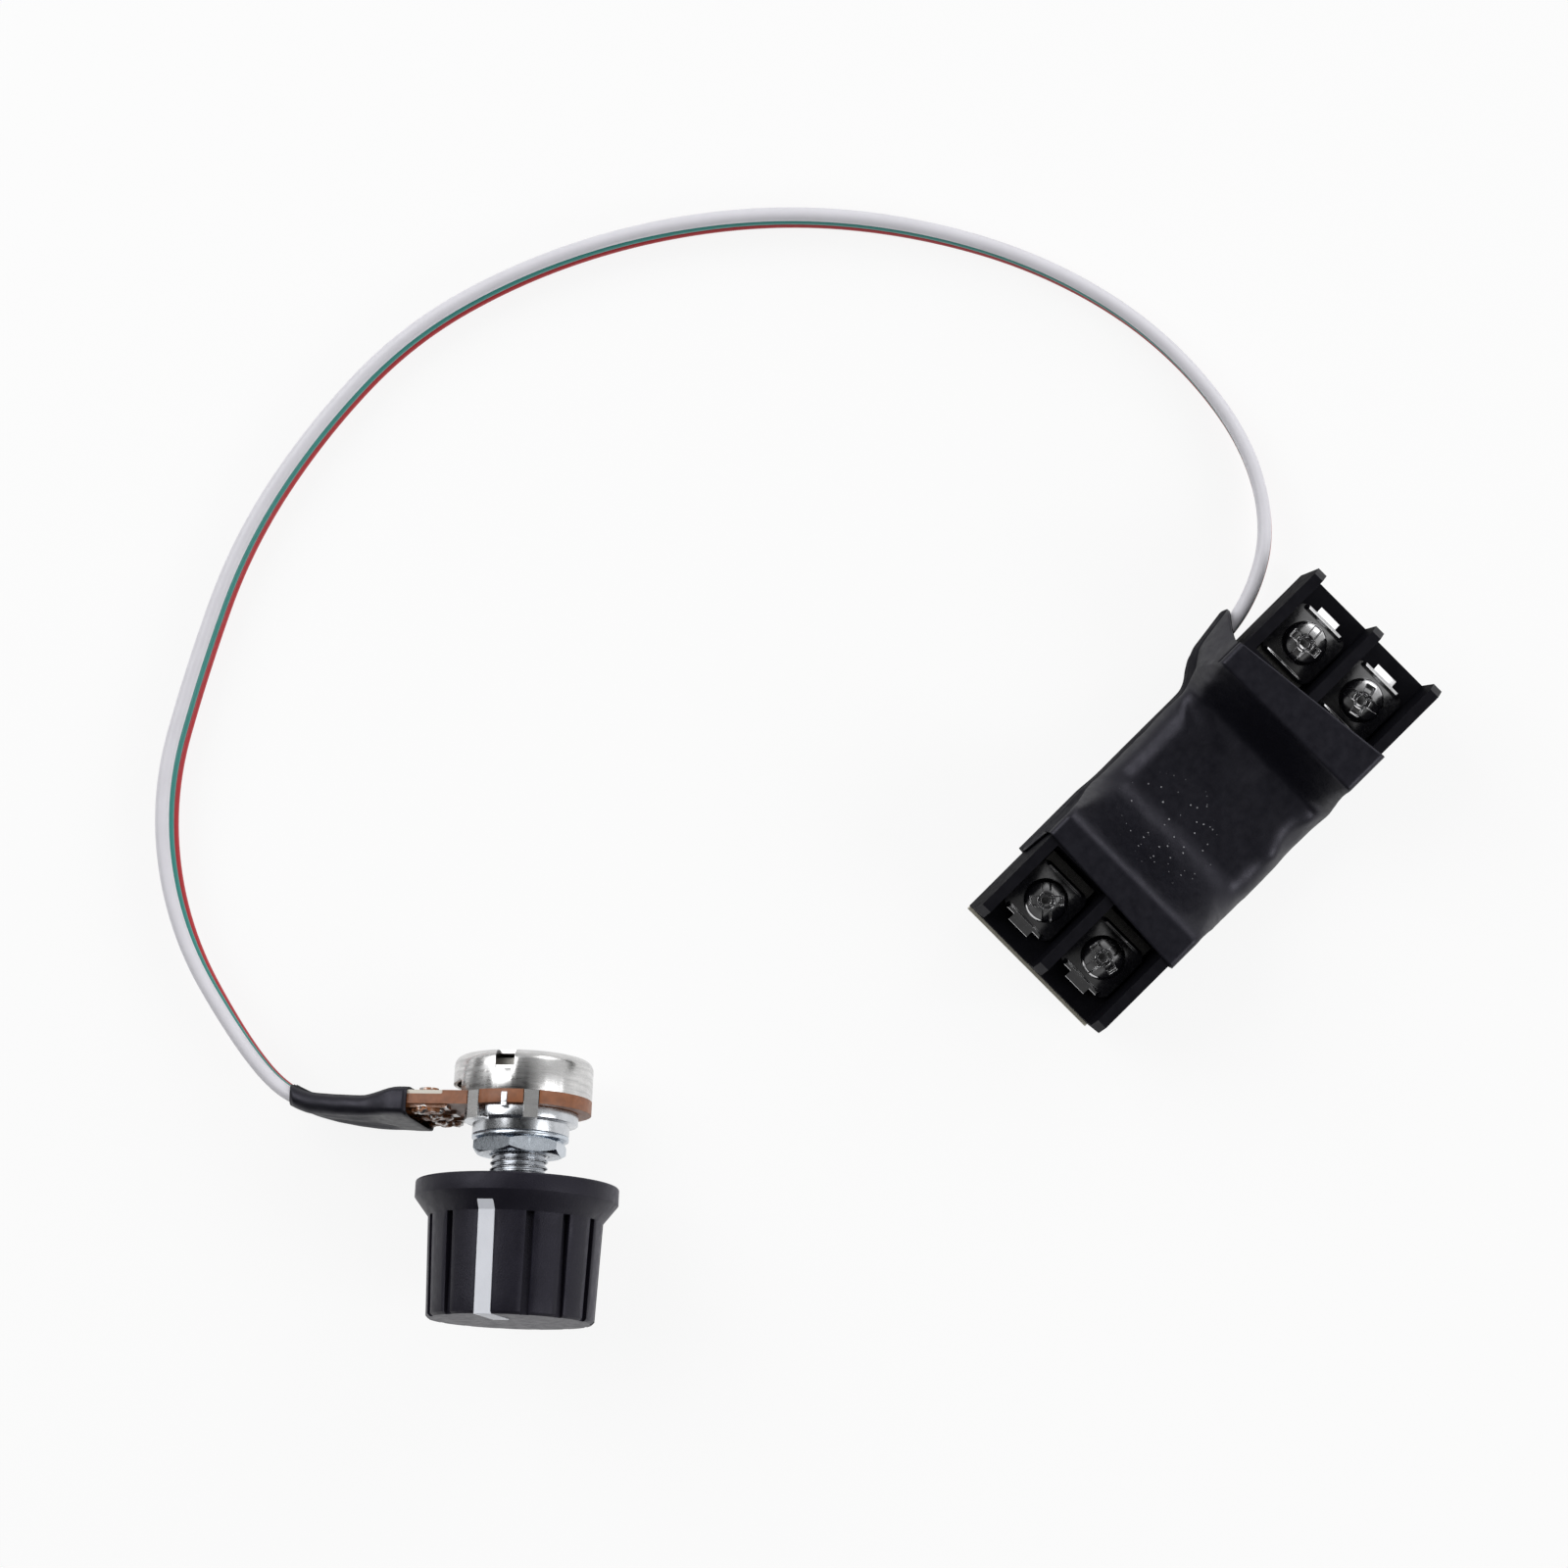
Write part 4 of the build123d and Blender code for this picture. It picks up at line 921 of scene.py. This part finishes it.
# Screw: a domed head with a slot across a cross recess, each wider at its mouth than at its floor
HEAD_RADIUS = 2.65
HEAD_TOP = 13.3
HEAD_UNDER = 11.1
HEAD_DOME = 0.62
HEAD_GRID = 2.7
HEAD_STEP = 0.05
RIM_START = 2.25
RIM_WIDTH = 0.4
RIM_DROP = 0.5
SLOT_DEPTH = 0.6
SLOT_MOUTH = 0.55
SLOT_FLOOR = 0.42
CROSS_DEPTH = 0.75
CROSS_MOUTH = 0.60
CROSS_FLOOR = 0.46
CROSS_END = 2.0
CROSS_FLOOR_END = 1.8
PIT_DEPTH = 0.5
PIT_MOUTH = 1.1
PIT_FLOOR = 0.55
SHANK_RADIUS = 1.5
SHANK_START = 11.2
SHANK_THREAD_END = 4.7
SHANK_END = 4.6
SHANK_PITCH = 0.5
SHANK_DEPTH = 0.25
SHANK_LOOPS = 65
SHANK_STEPS = 32


def head_outline(spot, step):
    if spot.length > HEAD_RADIUS + step:
        return None
    return spot if spot.length <= HEAD_RADIUS else spot.normalized() * HEAD_RADIUS


def head_height(x, y):
    """Height of the head, with its slot along x."""
    r = math.hypot(x, y)
    rim = RIM_DROP * clamped((r - RIM_START) / RIM_WIDTH) ** 2
    slot = SLOT_DEPTH * ease(SLOT_MOUTH, SLOT_FLOOR, abs(y))
    cross = CROSS_DEPTH * ease(CROSS_MOUTH, CROSS_FLOOR, abs(x)) * ease(CROSS_END, CROSS_FLOOR_END, abs(y))
    pit = PIT_DEPTH * ease(PIT_MOUTH, PIT_FLOOR, r)
    return HEAD_TOP - HEAD_DOME * (r / HEAD_RADIUS) ** 2 - rim - max(slot, cross) - pit


def shank_radius(station, t):
    """Radius of the shank's thread."""
    phase = (station / SHANK_PITCH - t / (2 * math.pi)) % 1.0
    return SHANK_RADIUS - SHANK_DEPTH * abs(2 * phase - 1)


def make_screw(n):
    place = Matrix.Translation(Vector((*SCREW_PLACES[n], 0)) * MM)
    turn = place @ Matrix.Rotation(math.radians(SCREW_HEADINGS[n]), 4, "Z")
    screw = raised(f"screw_head_{n}", HEAD_GRID, HEAD_STEP, head_outline, head_height, HEAD_UNDER, turn)
    loops = []
    for i in range(SHANK_LOOPS + 1):
        station = SHANK_START + (SHANK_THREAD_END - SHANK_START) * i / SHANK_LOOPS
        loops.append(turned(turn, shank_radius, station, SHANK_STEPS))
    loops.append([turn @ Vector((0, 0, SHANK_END * MM))] * SHANK_STEPS)
    shank = loft("shank", loops)
    work = bmesh.new()
    work.from_mesh(screw)
    work.from_mesh(shank)
    work.to_mesh(screw)
    work.free()
    bpy.data.meshes.remove(shank)
    piece(f"screw_{n}_cut", screw, "nickel_plate", f"screw_{n}", f"terminal_screw_{n}")


# Clamp plate: a square with a tongue on its outer side; its lip, tongue and bead lie along x
PLATE_HALF = 3.8
PLATE_CORNER = 1.4
PLATE_TOP = 11.4
PLATE_UNDER = 10.4
PLATE_STEP = 0.08
TONGUE_HALF = 1.6
TONGUE_END = 4.7
PLATE_GRID = TONGUE_END + 0.02
CROWN_RADIUS = 2.5
CROWN_SLOPE = 0.17
LIP_FOOT = 3.1
LIP_EDGE = 3.35
LIP_RISE = 0.5
LIP_FALL = 1.1
BEAD_RISE = 0.16


def plate_outline(spot, step):
    """Square with round corners and the tongue."""
    if abs(spot.y) <= TONGUE_HALF and 0 < spot.x <= TONGUE_END:
        return spot
    if max(abs(spot.x), abs(spot.y)) > PLATE_HALF + 0.001:
        return None
    flat = PLATE_HALF - PLATE_CORNER
    past = Vector((max(abs(spot.x) - flat, 0), max(abs(spot.y) - flat, 0)))
    if past.length <= PLATE_CORNER:
        return spot
    if past.length > PLATE_CORNER + step:
        return None
    past = past.normalized() * PLATE_CORNER
    x = min(abs(spot.x), flat) + past.x
    y = min(abs(spot.y), flat) + past.y
    return Vector((math.copysign(x, spot.x), math.copysign(y, spot.y)))


def plate_height(x, y):
    """Crowned under the screw head, with a raised lip and a sloping tongue outside and a bead inside."""
    r = math.hypot(min(x, PLATE_HALF), y)
    crown = PLATE_TOP - CROWN_SLOPE * max(r - CROWN_RADIUS, 0)
    lip = LIP_RISE * ease(LIP_FOOT, LIP_EDGE, x) * ease(3.0, 2.5, abs(y))
    if x > LIP_EDGE:
        lip *= 1 - LIP_FALL * (x - LIP_EDGE)
    bead = BEAD_RISE * ease(-3.2, -3.4, x) * ease(-3.7, -3.5, x) * ease(3.0, 2.6, abs(y))
    return crown + lip + bead


def make_clamp(n):
    x, y = SCREW_PLACES[n]
    place = Matrix.Translation(Vector((x, y, 0)) * MM)
    facing = place @ Matrix.Rotation(0 if x > 0 else math.pi, 4, "Z")
    name = f"clamp_{n}_pressed"
    plate = raised(name, PLATE_GRID, PLATE_STEP, plate_outline, plate_height, PLATE_UNDER, facing)
    piece(name, plate, "nickel_plate", f"clamp_{n}", f"clamp_plate_{n}")


for n in SCREW_PLACES:
    make_screw(n)
    make_clamp(n)


# Floor, which glows to the camera and to reflections, and soft studio light, in metres
FLOOR_HALF = 12.0
FLOOR_TONE = 0.9
FLOOR_GLOW = 0.88
LIGHT_TARGET = Vector((-0.035, 0.04, 0.01))


def make_floor():
    corners = [(-1, -1), (1, -1), (1, 1), (-1, 1)]
    mesh = bpy.data.meshes.new("floor")
    mesh.from_pydata([(x * FLOOR_HALF, y * FLOOR_HALF, 0) for x, y in corners], [], [(0, 1, 2, 3)])
    floor = bpy.data.objects.new("floor", mesh)
    scene.collection.objects.link(floor)
    mat = bpy.data.materials.new("floor")
    mat.use_nodes = True
    tree = mat.node_tree
    tree.nodes.clear()
    out = tree.nodes.new("ShaderNodeOutputMaterial")
    mix = tree.nodes.new("ShaderNodeMixShader")
    matt = tree.nodes.new("ShaderNodeBsdfDiffuse")
    matt.inputs["Color"].default_value = (FLOOR_TONE, FLOOR_TONE, FLOOR_TONE, 1)
    glow = tree.nodes.new("ShaderNodeEmission")
    glow.inputs["Strength"].default_value = 1.0
    path = tree.nodes.new("ShaderNodeLightPath")
    seen = tree.nodes.new("ShaderNodeMath")
    seen.operation = "ADD"
    share = tree.nodes.new("ShaderNodeMath")
    share.operation = "MULTIPLY"
    share.use_clamp = True
    share.inputs[1].default_value = FLOOR_GLOW
    tree.links.new(path.outputs["Is Camera Ray"], seen.inputs[0])
    tree.links.new(path.outputs["Is Glossy Ray"], seen.inputs[1])
    tree.links.new(seen.outputs["Value"], share.inputs[0])
    tree.links.new(share.outputs["Value"], mix.inputs["Fac"])
    tree.links.new(matt.outputs["BSDF"], mix.inputs[1])
    tree.links.new(glow.outputs["Emission"], mix.inputs[2])
    tree.links.new(mix.outputs["Shader"], out.inputs["Surface"])
    mesh.materials.append(mat)


def soft_light(name, place, size, power):
    """Square lamp at a place from the target, which it faces."""
    lamp = bpy.data.lights.new(name, "AREA")
    lamp.shape = "SQUARE"
    lamp.size = size
    lamp.energy = power
    obj = bpy.data.objects.new(name, lamp)
    obj.location = LIGHT_TARGET + place
    obj.rotation_euler = (-place).to_track_quat("-Z", "Y").to_euler()
    scene.collection.objects.link(obj)


make_floor()
soft_light("key", -IMAGE_RIGHT * 0.42 + IMAGE_UP * 0.30 + UP * 0.46, 0.5, 2.6)
soft_light("side", IMAGE_RIGHT * 0.50 - IMAGE_UP * 0.22 + UP * 0.38, 0.32, 1.3)
soft_light("back", IMAGE_RIGHT * 0.40 + IMAGE_UP * 0.42 + UP * 0.32, 0.32, 0.7)

# Studio: dark overhead and paler towards the walls, as pairs of height and tone, and dimmer towards -X
STUDIO_TONES = ((0.0, 0.62), (0.5, 0.52), (0.8, 0.4), (0.94, 0.14), (0.985, 0.015))
STUDIO_SIDE = 0.8
STUDIO_DIM = 0.12
STUDIO_BRIGHT = 1.25


def make_studio():
    world = bpy.data.worlds.new("studio")
    scene.world = world
    world.use_nodes = True
    tree = world.node_tree
    background = tree.nodes["Background"]
    heading = tree.nodes.new("ShaderNodeSeparateXYZ")
    tree.links.new(tree.nodes.new("ShaderNodeTexCoord").outputs["Generated"], heading.inputs["Vector"])
    ramp = tree.nodes.new("ShaderNodeValToRGB")
    ramp.color_ramp.interpolation = "EASE"
    stops = ramp.color_ramp.elements
    stops[0].position = STUDIO_TONES[0][0]
    stops[1].position = STUDIO_TONES[-1][0]
    for height, _ in STUDIO_TONES[1:-1]:
        stops.new(height)
    for stop, (_, tone) in zip(stops, STUDIO_TONES):
        stop.color = (tone, tone, tone, 1)
    side = tree.nodes.new("ShaderNodeMapRange")
    side.inputs["From Min"].default_value = -STUDIO_SIDE
    side.inputs["From Max"].default_value = STUDIO_SIDE
    side.inputs["To Min"].default_value = STUDIO_DIM
    side.inputs["To Max"].default_value = STUDIO_BRIGHT
    tree.links.new(heading.outputs["X"], side.inputs["Value"])
    tree.links.new(heading.outputs["Z"], ramp.inputs["Fac"])
    tree.links.new(ramp.outputs["Color"], background.inputs["Color"])
    tree.links.new(side.outputs["Result"], background.inputs["Strength"])


make_studio()
